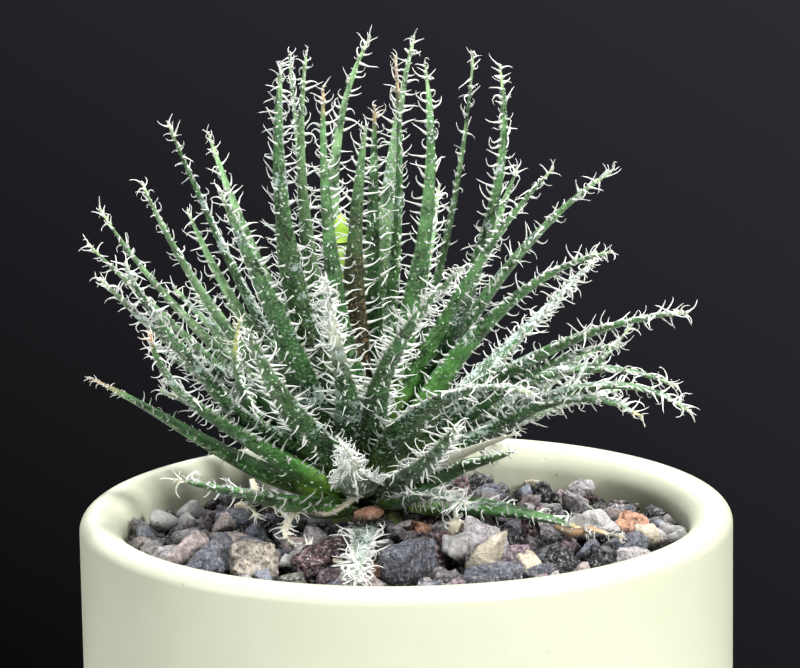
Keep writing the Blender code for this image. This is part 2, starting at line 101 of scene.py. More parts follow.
def spokes(first: Array, second: Array, angle: Array) -> Array:
    """Vectors first * cos(angle) + second * sin(angle), with the angles on a new axis."""
    cos, sin = np.cos(angle)[:, None], np.sin(angle)[:, None]
    return first[..., None, :] * cos + second[..., None, :] * sin


def turned(outline: Array, columns: int) -> Array:
    """Rings about the Z axis.

    Point j of ring i is (r cos a, r sin a, z), with r and z from row i of the outline and a
    the angle of corner j.

    Args:
        outline: Rows of radius and height.
        columns: Points on a ring.

    Returns:
        Points, as rings x points x 3.
    """
    angle = corners_of(columns)
    level = np.broadcast_to(outline[:, 1:], (len(outline), columns))
    return np.stack([outline[:, :1] * np.cos(angle), outline[:, :1] * np.sin(angle), level], -1)


# Meshes


@dataclass
class Patch:
    """Closed surfaces gathered for one mesh, with what each point and corner carries."""

    points: Array
    quads: Index
    tris: Index
    quad_places: Array
    tri_places: Array
    marks: dict[str, Array] = field(default_factory=dict)

    @classmethod
    def joined(cls, patches: "list[Patch]") -> "Patch":
        """Several patches as one.

        Args:
            patches: Patches that carry the same marks.

        Returns:
            One patch holding them all, in order.
        """
        shifts = np.cumsum([0] + [len(p.points) for p in patches[:-1]])
        return cls(
            np.concatenate([p.points for p in patches]),
            np.concatenate([p.quads + s for p, s in zip(patches, shifts)]),
            np.concatenate([p.tris + s for p, s in zip(patches, shifts)]),
            np.concatenate([p.quad_places for p in patches]),
            np.concatenate([p.tri_places for p in patches]),
            {key: np.concatenate([p.marks[key] for p in patches]) for key in patches[0].marks},
        )


def tubes(rings: Array, starts: Array, ends: Array, corner: Array, span: Array) -> Patch:
    """Closed tubes, each a run of rings with a pole at either end.

    Point j of ring i joins its neighbours on the ring and the same points of the next ring;
    the first and last rings close on their poles.  Rings turn anticlockwise as seen from the
    end, so the faces point outwards.

    Args:
        rings: Ring points, as tubes x rings x points x 3.
        starts: First pole of each tube.
        ends: Last pole of each tube.
        corner: Low corner of each tube's rectangle on the bake map.
        span: Width and height of each tube's rectangle.

    Returns:
        A patch whose map runs round each tube and along it.
    """
    count, rows, columns, _ = rings.shape
    size = rows * columns + 2
    points = np.concatenate(
        [rings.reshape(count, rows * columns, 3), starts[:, None], ends[:, None]], axis=1
    )
    grid = np.meshgrid(np.arange(rows - 1), np.arange(columns), indexing="ij")
    i, j = grid[0].ravel(), grid[1].ravel()
    after = (j + 1) % columns
    low, high = i * columns, (i + 1) * columns
    quads = np.stack([low + j, low + after, high + after, high + j], 1)
    quad_round = np.stack([j, j + 1, j + 1, j], 1) / columns
    quad_along = (np.stack([i, i, i + 1, i + 1], 1) + 1) / (rows + 1)
    k = np.arange(columns)
    turn = (k + 1) % columns
    first = np.stack([np.full(columns, rows * columns), turn, k], 1)
    top = (rows - 1) * columns
    last = np.stack([top + k, top + turn, np.full(columns, size - 1)], 1)
    first_round = np.stack([k + 0.5, k + 1, k], 1)
    last_round = np.stack([k, k + 1, k + 0.5], 1)
    tri_round = np.concatenate([first_round, last_round]) / columns
    tri_along = np.repeat([[0.0, 1.0, 1.0], [rows, rows, rows + 1.0]], columns, 0) / (rows + 1)
    shifts = np.arange(count)[:, None, None] * size
    span = np.broadcast_to(span, (count, 2))

    def placed(round_: Array, along: Array) -> Array:
        """Places on the map for each tube's corners."""
        places = np.stack([round_, along], -1)[None] * span[:, None, None]
        return (corner[:, None, None] + places).reshape(-1, round_.shape[1], 2)

    return Patch(
        points.reshape(-1, 3),
        (quads[None] + shifts).reshape(-1, 4),
        (np.concatenate([first, last])[None] + shifts).reshape(-1, 3),
        placed(quad_round, quad_along),
        placed(tri_round, tri_along),
    )


def per_point(values: Array, columns: int) -> Array:
    """Values given per ring as values per point, in the order of tubes().

    Args:
        values: Values, as tubes x rings, and more axes after.
        columns: Points on a ring.

    Returns:
        One row for each point; a pole takes its nearest ring's.
    """
    count, rows = values.shape[:2]
    rest = values.shape[2:]
    rings = np.repeat(values, columns, axis=1)
    poles = np.stack([values[:, 0], values[:, -1]], 1)
    return np.concatenate([rings, poles], 1).reshape(count * (rows * columns + 2), *rest)


def make_piece(
    name: str,
    patch: Patch,
    material: bpy.types.Material,
    replaced: tuple[str, ...] = (),
    crease: float | None = None,
) -> bpy.types.Object:
    """Turns a patch into an object that rides on the pot's only body.

    Args:
        name: Piece name.
        patch: Its surfaces, in metres.
        material: Its finish.
        replaced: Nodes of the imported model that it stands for.
        crease: Angle in degrees past which an edge is shaded sharp, or None for none.

    Returns:
        The new object.
    """
    mesh = bpy.data.meshes.new(name)
    corners = np.concatenate([patch.quads.ravel(), patch.tris.ravel()]).astype(np.int32)
    starts = np.concatenate(
        [np.arange(len(patch.quads)) * 4, len(patch.quads) * 4 + np.arange(len(patch.tris)) * 3]
    ).astype(np.int32)
    mesh.vertices.add(len(patch.points))
    mesh.vertices.foreach_set("co", patch.points.astype(np.float32).ravel())
    mesh.loops.add(len(corners))
    mesh.loops.foreach_set("vertex_index", corners)
    mesh.polygons.add(len(starts))
    mesh.polygons.foreach_set("loop_start", starts)
    mesh.polygons.foreach_set("use_smooth", np.full(len(starts), True))
    layer = mesh.uv_layers.new(name=BAKE_MAP, do_init=False)
    places = np.concatenate([patch.quad_places.reshape(-1, 2), patch.tri_places.reshape(-1, 2)])
    layer.uv.foreach_set("vector", places.astype(np.float32).ravel())
    for key, values in patch.marks.items():
        if values.ndim == 2:
            colours = np.concatenate([values, np.ones((len(values), 1))], 1)
            store = mesh.attributes.new(key, "FLOAT_COLOR", "POINT")
            store.data.foreach_set("color", colours.astype(np.float32).ravel())
        else:
            store = mesh.attributes.new(key, "FLOAT", "POINT")
            store.data.foreach_set("value", values.astype(np.float32))
    mesh.update(calc_edges=True)
    mesh.validate()
    if crease is not None:
        mesh.set_sharp_from_angle(angle=math.radians(crease))
    mesh.materials.append(material)
    piece = bpy.data.objects.new(name, mesh)
    bpy.context.scene.collection.objects.link(piece)
    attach(piece, "root")
    if replaced:
        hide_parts(*replaced)
    LOG.info("%s: %d faces", name, len(starts))
    return piece


# Shaders


class Number:
    """A socket that carries one number; arithmetic on it adds Math nodes."""

    def __init__(self, recipe: "Recipe", socket: bpy.types.NodeSocket) -> None:
        """Keeps the recipe that the socket belongs to."""
        self.recipe = recipe
        self.socket = socket

    def _math(self, operation: str, *values: "Number | float") -> "Number":
        """One Math node on these values."""
        node = self.recipe.node("ShaderNodeMath", {"operation": operation}, dict(enumerate(values)))
        return Number(self.recipe, node.outputs[0])

    def __add__(self, other: "Number | float") -> "Number":
        """The sum."""
        return self._math("ADD", self, other)

    __radd__ = __add__

    def __sub__(self, other: "Number | float") -> "Number":
        """The difference."""
        return self._math("SUBTRACT", self, other)

    def __rsub__(self, other: "Number | float") -> "Number":
        """The difference, with this one taken away."""
        return self._math("SUBTRACT", other, self)

    def __mul__(self, other: "Number | float") -> "Number":
        """The product."""
        return self._math("MULTIPLY", self, other)

    __rmul__ = __mul__

    def between(self, low: float, high: float) -> "Number":
        """0 below low, 1 above high, and eased between."""
        node = self.recipe.node(
            "ShaderNodeMapRange",
            {"interpolation_type": "SMOOTHSTEP"},
            {"Value": self, "From Min": low, "From Max": high},
        )
        return Number(self.recipe, node.outputs[0])


class Recipe:
    """One material's nodes, with a Principled shader at their end."""

    def __init__(self, name: str, settings: dict[str, Any]) -> None:
        """Makes the material.

        Args:
            name: Its name.
            settings: Plain values of the shader's sockets.
        """
        self.material = bpy.data.materials.new(name)
        self.material.use_nodes = True
        self.tree = self.material.node_tree
        self.tree.nodes.clear()
        self.shader = self.node("ShaderNodeBsdfPrincipled", {}, settings)
        output = self.node("ShaderNodeOutputMaterial", {}, {})
        self.tree.links.new(self.shader.outputs[0], output.inputs["Surface"])
        where = self.node("ShaderNodeTexCoord", {}, {})
        self.object_place = where.outputs["Object"]

    def node(self, kind: str, settings: dict[str, Any], inputs: dict[Any, Any]) -> bpy.types.Node:
        """Adds a node.

        Args:
            kind: Type of node.
            settings: Its properties; "stops" holds a ramp's two (place, colour) pairs.
            inputs: Values or links of its sockets, by name or number.

        Returns:
            The node.
        """
        made = self.tree.nodes.new(kind)
        for key, value in settings.items():
            if key == "stops":
                for element, (place, colour) in zip(made.color_ramp.elements, value):
                    element.position = place
                    element.color = (*colour, 1.0)
            else:
                setattr(made, key, value)
        for key, value in inputs.items():
            socket = made.inputs[key]
            if isinstance(value, Number):
                value = value.socket
            if isinstance(value, bpy.types.NodeSocket):
                self.tree.links.new(value, socket)
            elif isinstance(value, tuple) and socket.type == "RGBA":
                socket.default_value = (*value, 1.0)
            else:
                socket.default_value = value
        return made

    def mark(self, name: str) -> Number:
        """A number stored per point of the mesh."""
        node = self.node("ShaderNodeAttribute", {"attribute_name": name}, {})
        return Number(self, node.outputs["Fac"])

    def tint(self, name: str) -> bpy.types.NodeSocket:
        """A colour stored per point of the mesh."""
        node = self.node("ShaderNodeAttribute", {"attribute_name": name}, {})
        return node.outputs["Color"]

    def height(self) -> Number:
        """Height above the floor, in metres."""
        node = self.node("ShaderNodeSeparateXYZ", {}, {0: self.object_place})
        return Number(self, node.outputs["Z"])

    def ramp(self, share: Number, low: tuple[float, Colour], high: tuple[float, Colour]) -> Any:
        """A colour that runs from one (place, colour) stop to the other as a share rises."""
        return self.node("ShaderNodeValToRGB", {"stops": (low, high)}, {"Fac": share}).outputs[0]

    def noise(
        self, length: float, detail: float = 3.0, roughness: float = 0.55, warp: float = 0.0
    ) -> Number:
        """Cloudy noise whose blotches are about this many metres across."""
        node = self.node(
            "ShaderNodeTexNoise",
            {},
            {
                "Vector": self.object_place,
                "Scale": 0.5 / length,
                "Detail": detail,
                "Roughness": roughness,
                "Distortion": warp,
            },
        )
        return Number(self, node.outputs[0])

    def cells(self, length: float) -> Number:
        """Distance to the middle of the nearest cell, with cells this many metres across."""
        inputs = {"Vector": self.object_place, "Scale": 1.0 / length}
        return Number(self, self.node("ShaderNodeTexVoronoi", {"feature": "F1"}, inputs).outputs[0])

    def mixed(
        self, share: Number | float, first: Any, second: Any, blend: str = "MIX"
    ) -> bpy.types.NodeSocket:
        """Two colours mixed by a share.

        Args:
            share: 0 for the first, 1 for the second.
            first: A colour or a link.
            second: A colour or a link.
            blend: How the second is laid over the first.

        Returns:
            The mixed colour.
        """
        settings = {"data_type": "RGBA", "blend_type": blend, "clamp_factor": True}
        return self.node("ShaderNodeMix", settings, {0: share, 6: first, 7: second}).outputs[2]

    def finish(
        self, colour: Any, roughness: Number, height: Number, depth: float
    ) -> bpy.types.Material:
        """Joins the patterns to the shader.

        Args:
            colour: Base colour.
            roughness: Roughness.
            height: Pattern of the relief, from 0 to 1.
            depth: Depth of the relief in metres.

        Returns:
            The finished material.
        """
        relief = {"Height": height, "Distance": depth, "Strength": 1.0}
        bump = self.node("ShaderNodeBump", {}, relief)
        self.tree.links.new(colour, self.shader.inputs["Base Color"])
        self.tree.links.new(roughness.socket, self.shader.inputs["Roughness"])
        self.tree.links.new(bump.outputs[0], self.shader.inputs["Normal"])
        return self.material


@dataclass(frozen=True)
class LeafSkin:
    """Satin aloe skin with pale flecks, a grey bloom and painted sheen in patches, painted glints,
    and milk-white teeth.

    Lengths are the sizes of the patterns' blotches, in metres.
    """

    bloom_and_sheen: Colour = linear(214, 232, 226)
    painted_glint: Colour = linear(252, 254, 252)
    speck: Colour = linear(172, 208, 152)
    bark: Colour = linear(46, 36, 30)
    gold: Colour = linear(156, 132, 94)
    dim: Colour = (0.20, 0.24, 0.20)
    lit: Colour = (1.9, 1.85, 1.6)
    mottle_length: float = 0.0013
    speck_length: float = 0.00022
    bloom_and_sheen_length: float = 0.0020
    grain_length: float = 0.00022
    painted_glint_length: float = 0.00015
    relief: float = 0.00016

    def material(self) -> bpy.types.Material:
        """The leaf material; the mesh carries skin, silver, brown and tooth.

        The bloom and painted sheen lie where 1.6 cloud + 0.9 grain + 0.5 silver passes 1.55 to
        1.63.

        Returns:
            The finished material.
        """
        recipe = Recipe("aloe_skin", {"IOR": 1.45, "Specular IOR Level": 0.5})
        silver = recipe.mark("silver")
        tooth = recipe.mark("tooth")
        brown = recipe.mark("brown")
        bare = 1.0 - tooth
        mottle = recipe.noise(self.mottle_length, 3.0, 0.6)
        speck = recipe.noise(self.speck_length, 2.0, 0.7)
        depth = recipe.ramp(mottle, (0.34, self.dim), (0.64, self.lit))
        shaded = recipe.mixed(bare, (1.0, 1.0, 1.0), depth)
        skin = recipe.mixed(1.0, recipe.tint("skin"), shaded, "MULTIPLY")
        skin = recipe.mixed(speck.between(0.47, 0.66) * bare * 0.4, skin, self.speck)
        cloud = recipe.noise(self.bloom_and_sheen_length, 4.0, 0.62, 0.6)
        grain = recipe.noise(self.grain_length, 3.0, 0.75)
        # bloom and sheen: partly the leaf's real pale crust, partly painted sheen where light would
        # catch the skin
        crust_and_sheen = cloud * 1.6 + grain * 0.9 + silver * 0.5
        bloom_and_sheen = crust_and_sheen.between(1.55, 1.63) * bare
        skin = recipe.mixed(bloom_and_sheen * 0.9, skin, self.bloom_and_sheen)
        # painted glints: tiny white highlights, thicker where silver is high
        painted_glint_spots = recipe.noise(self.painted_glint_length, 2.0, 0.8).between(0.60, 0.66) * (0.1 + silver)
        skin = recipe.mixed(painted_glint_spots * bare, skin, self.painted_glint)
        skin = recipe.mixed(brown * bare * 0.92, skin, self.bark)
        skin = recipe.mixed(grain.between(0.50, 0.62) * brown * bare * 0.7, skin, self.gold)
        rough = 0.27 + bloom_and_sheen * 0.12 + tooth * 0.2 + speck * 0.12
        return recipe.finish(skin, rough, (speck * 0.5 + mottle + bloom_and_sheen * 0.5) * bare, self.relief)


@dataclass(frozen=True)
class Glaze:
    """A pale celadon satin glaze with faint specks and a fine orange peel, over bare clay."""

    body: Colour = linear(224, 227, 202)
    thin: Colour = linear(230, 233, 210)
    fleck: Colour = linear(176, 172, 138)
    clay: Colour = linear(206, 196, 172)
    pale_clay: Colour = linear(228, 220, 198)
    foot: float = 0.3 * MM
    foot_fade: float = 0.0006
    cloud_length: float = 0.012
    fleck_length: float = 0.0042
    fleck_patches: float = 0.009
    clay_length: float = 0.0006
    peel_length: float = 0.0016
    pit_length: float = 0.0030
    relief: float = 0.00009

    def material(self) -> bpy.types.Material:
        """The glaze; below the foot line the clay is bare.

        Returns:
            The finished material.
        """
        shine = {"IOR": 1.5, "Specular IOR Level": 0.5, "Coat Roughness": 0.22}
        recipe = Recipe("celadon_glaze", shine)
        cloud = recipe.noise(self.cloud_length, 4.0, 0.6)
        colour = recipe.mixed(cloud.between(0.35, 0.7), self.body, self.thin)
        patches = recipe.noise(self.fleck_patches, 1.0).between(0.56, 0.62)
        fleck = (1.0 - recipe.cells(self.fleck_length).between(0.02, 0.07)) * patches
        colour = recipe.mixed(fleck * 0.6, colour, self.fleck)
        clay = recipe.mixed(recipe.noise(self.clay_length, 3.0, 0.7), self.clay, self.pale_clay)
        bare = 1.0 - recipe.height().between(self.foot, self.foot + self.foot_fade)
        colour = recipe.mixed(bare, colour, clay)
        peel = recipe.noise(self.peel_length, 2.0, 0.5)
        pits = recipe.cells(self.pit_length).between(0.0, 0.16)
        rough = 0.34 + cloud * 0.08 + bare * 0.4
        return recipe.finish(colour, rough, peel * 0.6 + pits * 0.4, self.relief)


@dataclass(frozen=True)
class Stone:
    """Crushed rock: the mesh gives each chip its tint, its grain and how porous it is."""

    dust_and_sparkle: Colour = linear(232, 228, 226)
    shade: Colour = linear(34, 28, 28)
    dim: Colour = (0.26, 0.25, 0.25)
    lit: Colour = (1.65, 1.65, 1.65)
    fine_length: float = 0.00021
    cloud_length: float = 0.0010
    vein_length: float = 0.0034
    hole_length: float = 0.0008
    facet_length: float = 0.0011
    relief: float = 0.0014

    def material(self) -> bpy.types.Material:
        """The rock material; the mesh carries tint, grain and pores, and the tint holds painted
        shade low in the bed.

        Returns:
            The finished material.
        """
        recipe = Recipe("crushed_rock", {"IOR": 1.5, "Specular IOR Level": 0.45})
        grain = recipe.mark("grain")
        pores = recipe.mark("pores")
        fine = recipe.noise(self.fine_length, 3.0, 0.75)
        cloud = recipe.noise(self.cloud_length, 6.0, 0.8, 0.6)
        veins = recipe.noise(self.vein_length, 3.0, 0.6, 1.4)
        depth = recipe.ramp(cloud, (0.40, self.dim), (0.61, self.lit))
        shaded = recipe.mixed(1.0 - grain, depth, (1.0, 1.0, 1.0))
        colour = recipe.mixed(1.0, recipe.tint("tint"), shaded, "MULTIPLY")
        # pale dust in veins and fine pale grains; the fine grains are partly painted sparkle
        # highlights
        colour = recipe.mixed(veins.between(0.56, 0.70) * grain * 0.5, colour, self.dust_and_sparkle)
        colour = recipe.mixed(fine.between(0.54, 0.62) * grain * 0.85, colour, self.dust_and_sparkle)
        gaps = 1.0 - fine.between(0.38, 0.46)
        colour = recipe.mixed(gaps * grain * 0.85, colour, self.shade)
        holes = 1.0 - recipe.cells(self.hole_length).between(0.15, 0.55)
        colour = recipe.mixed(holes * pores * 0.8, colour, self.shade)
        facets = recipe.cells(self.facet_length)
        relief = cloud * 0.9 + fine * 0.3 + facets * 0.5 - holes * pores * 1.1
        return recipe.finish(colour, 0.66 + fine * 0.2, relief, self.relief)


@dataclass(frozen=True)
class PlainMottle:
    """A matt finish in two tints with a grainy relief, for soil, stem, bud and stand."""

    name: str
    dark: Colour
    light: Colour
    length: float
    depth: float
    roughness: float = 0.8

    def material(self) -> bpy.types.Material:
        """The two tints mixed by noise.

        Returns:
            The finished material.
        """
        recipe = Recipe(self.name, {"Specular IOR Level": 0.3})
        cloud = recipe.noise(self.length, 4.0, 0.65, 0.4)
        fine = recipe.noise(self.length * 0.2, 2.0, 0.7)
        share = (cloud * 0.7 + fine * 0.3).between(0.36, 0.62)
        colour = recipe.mixed(share, self.dark, self.light)
        relief = cloud * 0.6 + fine * 0.4
        return recipe.finish(colour, self.roughness - fine * 0.1, relief, self.depth)


# Leaves

MERGE_DISTANCE = 2e-6
RING_DEPTH = 1.3
ARCH_STEPS = 12


class TipTint(Enum):
    """Colour that a leaf fades to near its tip, with how far down it reaches."""

    GREEN = (linear(160, 190, 146), 0.05)
    TAN = (linear(196, 166, 146), 0.10)
    RUSSET = (linear(178, 142, 118), 0.05)
    STRAW = (linear(222, 208, 148), 0.03)
    LIME = (linear(190, 196, 104), 0.12)
    AMBER = (linear(226, 140, 84), 0.025)
    EMBER = (linear(206, 158, 124), 0.08)
    DRY = (linear(226, 206, 178), 0.34)
    FROST = (linear(238, 242, 240), 0.30)
    CREAM = (linear(252, 246, 228), 0.60)


@dataclass(frozen=True)
class Look:
    """How a leaf differs from its neighbours; shares run from 0 to 1, the rest are factors."""

    silver: float = 0.35
    pale: float = 0.0
    brown: float = 0.0
    lush: float = 0.15
    tip: TipTint = TipTint.GREEN
    teeth: float = 1.0
    crowding: float = 1.0
    curl: float = 1.0
    fullness: float = 1.0
    tuft: int = 0
    smooth: float = 0.0


@dataclass
class Skeleton:
    """The line that a leaf follows from its seat to its tip, with its size along it.

    Across, upper and tangent are unit vectors, right-handed in that order; upper points out of
    the leaf's flat side.
    """

    centre: Array
    across: Array
    upper: Array
    half: Array
    thick: Array

    @property
    def tangent(self) -> Array:
        """Unit direction of growth at each station."""
        return unit(np.gradient(self.centre, axis=0))

    @property
    def length(self) -> float:
        """Length along the line, in metres."""
        return float(np.linalg.norm(np.diff(self.centre, axis=0), axis=1).sum())

    @classmethod
    def from_node(cls, name: str, seat: Array) -> "Skeleton":
        """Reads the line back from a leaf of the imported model.

        The leaf is a loft of six-point rings that ends in one point, the farthest from the
        seat.  Points as many edges away from it as each other make one ring.  The two that
        are farthest apart are the leaf's edges, and the side that stands farther out from
        them is the keel.

        Args:
            name: Node name.
            seat: A point that all the leaves grow from.

        Returns:
            The stations from seat to tip.
        """
        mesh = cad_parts[name].data
        raw = np.empty(len(mesh.vertices) * 3, np.float32)
        mesh.vertices.foreach_get("co", raw)
        mesh.calc_loop_triangles()
        corners = np.empty(len(mesh.loop_triangles) * 3, np.int32)
        mesh.loop_triangles.foreach_get("vertices", corners)
        steps = np.round(raw.reshape(-1, 3) / MERGE_DISTANCE)
        _, first, index = np.unique(steps, axis=0, return_index=True, return_inverse=True)
        points = raw.reshape(-1, 3)[first].astype(float)
        faces = index.reshape(-1)[corners].reshape(-1, 3)
        edges = np.concatenate([faces[:, [0, 1]], faces[:, [1, 2]], faces[:, [2, 0]]])
        edges = np.concatenate([edges, edges[:, ::-1]])
        level = np.full(len(points), -1)
        tip = int(np.argmax(np.linalg.norm(points - seat, axis=1)))
        level[tip] = 0
        step = 0
        while (level < 0).any():
            near = edges[level[edges[:, 0]] == step, 1]
            near = near[level[near] < 0]
            if not len(near):
                break
            step += 1
            level[near] = step
        rings, centres, sides, halves = [], [], [], []
        for number in range(step, 0, -1):
            ring = points[level == number]
            if len(ring) < 4:
                continue
            apart = np.linalg.norm(ring[:, None] - ring[None], axis=2)
            a, b = np.unravel_index(int(apart.argmax()), apart.shape)
            rings.append(ring)
            centres.append((ring[a] + ring[b]) / 2)
            sides.append(unit(ring[b] - ring[a]))
            halves.append(apart.max() / 2)
        centre = np.array(centres + [points[tip]])
        tangent = unit(np.gradient(centre, axis=0))
        uppers, thicks = [], []
        for i, ring in enumerate(rings):
            normal = unit(np.cross(tangent[i], sides[i]))
            height = (ring - centre[i]) @ normal
            uppers.append(normal * (-1.0 if height.max() > -height.min() else 1.0))
            thicks.append((height.max() - height.min()) / RING_DEPTH)
        upper = np.array(uppers + [uppers[-1]])
        upper = unit(upper - (upper * tangent).sum(1)[:, None] * tangent)
        across = np.cross(upper, tangent)
        return cls(centre, across, upper, np.array(halves + [0.0]), np.array(thicks + [0.0]))

    @classmethod
    def arched(
        cls,
        seat: Array,
        azimuth: float,
        lift: float,
        tip_lift: float,
        length: float,
        width: float,
        sweep: float,
    ) -> "Skeleton":
        """A line whose rise and heading change evenly from seat to tip.

        Args:
            seat: Its first point, in metres.
            azimuth: Heading in degrees, anticlockwise from +X.
            lift: Rise above level at the seat, in degrees.
            tip_lift: Rise at the tip.
            length: Length in metres.
            width: Greatest width in metres.
            sweep: Turn of the heading from seat to tip, in degrees.

        Returns:
            One station more than there are steps.
        """
        share = (np.arange(ARCH_STEPS) + 0.5) / ARCH_STEPS
        heading = np.radians(azimuth + sweep * share)
        rise = np.radians(lift + (tip_lift - lift) * share)
        flat = np.cos(rise)
        ways = np.stack([flat * np.cos(heading), flat * np.sin(heading), np.sin(rise)], 1)
        steps = ways * (length / ARCH_STEPS)
        centre = seat + np.concatenate([np.zeros((1, 3)), np.cumsum(steps, axis=0)])
        tangent = unit(np.gradient(centre, axis=0))
        turn = math.radians(azimuth)
        level = np.array([math.sin(turn), -math.cos(turn), 0.0])
        across = unit(level - (tangent @ level)[:, None] * tangent)
        s = np.linspace(0.0, 1.0, ARCH_STEPS + 1)
        half = 0.5 * width * (0.5 + 0.5 * eased(0.0, 0.2, s)) * (1.0 - 0.85 * eased(0.1, 1.2, s))
        return cls(centre, across, np.cross(tangent, across), half, half * 0.55)

    @classmethod
    def through(cls, centre: Array, width: float) -> "Skeleton":
        """A line through given points, flat side up, widest at a quarter of its points.

        Args:
            centre: The points, in metres.
            width: Greatest width in metres.

        Returns:
            One station for each point.
        """
        tangent = unit(np.gradient(centre, axis=0))
        across = unit(np.cross(tangent, np.array([0.2, 0.1, 1.0])))
        s = np.linspace(0.0, 1.0, len(centre))
        half = 0.5 * width * (0.6 + 0.4 * eased(0.0, 0.25, s)) * (1.0 - 0.8 * eased(0.3, 1.1, s))
        return cls(centre, across, np.cross(across, tangent), half, half * 0.7)

    def refined(self, count: int) -> "Skeleton":
        """The same line with more stations, on a curve through the old ones.

        Between stations p1 and p2, with p0 and p3 beyond them, the curve at share t is
        0.5 (2 p1 + (p2 - p0) t + (2 p0 - 5 p1 + 4 p2 - p3) t^2 + (3 p1 - p0 - 3 p2 + p3) t^3).

        Args:
            count: Stations wanted.

        Returns:
            The finer skeleton.
        """
        sizes = np.stack([self.half, self.thick], 1)
        table = np.concatenate([self.centre, self.across, self.upper, sizes], axis=1)
        padded = np.concatenate([2 * table[:1] - table[1:2], table, 2 * table[-1:] - table[-2:-1]])
        where = np.linspace(0.0, len(table) - 1.0, count)
        low = np.minimum(where.astype(int), len(table) - 2)
        t = (where - low)[:, None]
        p0, p1, p2, p3 = [padded[low + i] for i in range(4)]
        square = 2 * p0 - 5 * p1 + 4 * p2 - p3
        cube = 3 * p1 - p0 - 3 * p2 + p3
        fine = 0.5 * (2 * p1 + (p2 - p0) * t + square * t**2 + cube * t**3)
        centre = fine[:, :3]
        tangent = unit(np.gradient(centre, axis=0))
        upper = fine[:, 6:9]
        upper = unit(upper - (upper * tangent).sum(1)[:, None] * tangent)
        across = np.cross(upper, tangent)
        return Skeleton(centre, across, upper, fine[:, 9].clip(0), fine[:, 10].clip(0))


class ToothRow(NamedTuple):
    """One row of teeth along a leaf.

    Turn is its section angle and start the share of the length where it begins.  Its teeth
    stand gap tooth gaps apart and stray round the section by spread radians.  Chance is the
    share of places that hold a tooth, and size a factor on the teeth's length.
    """

    turn: float
    start: float
    gap: float
    spread: float
    chance: float
    size: float


@dataclass
class Teeth:
    """Teeth before they are shaped, one row of each array for each tooth.

    A tooth leaves its root along start and turns towards goal by curl radians; wave is the
    swing of its S bend, size its length and along the share of the leaf where it stands.
    """

    root: Array
    start: Array
    goal: Array
    curl: Array
    size: Array
    wave: Array
    along: Array


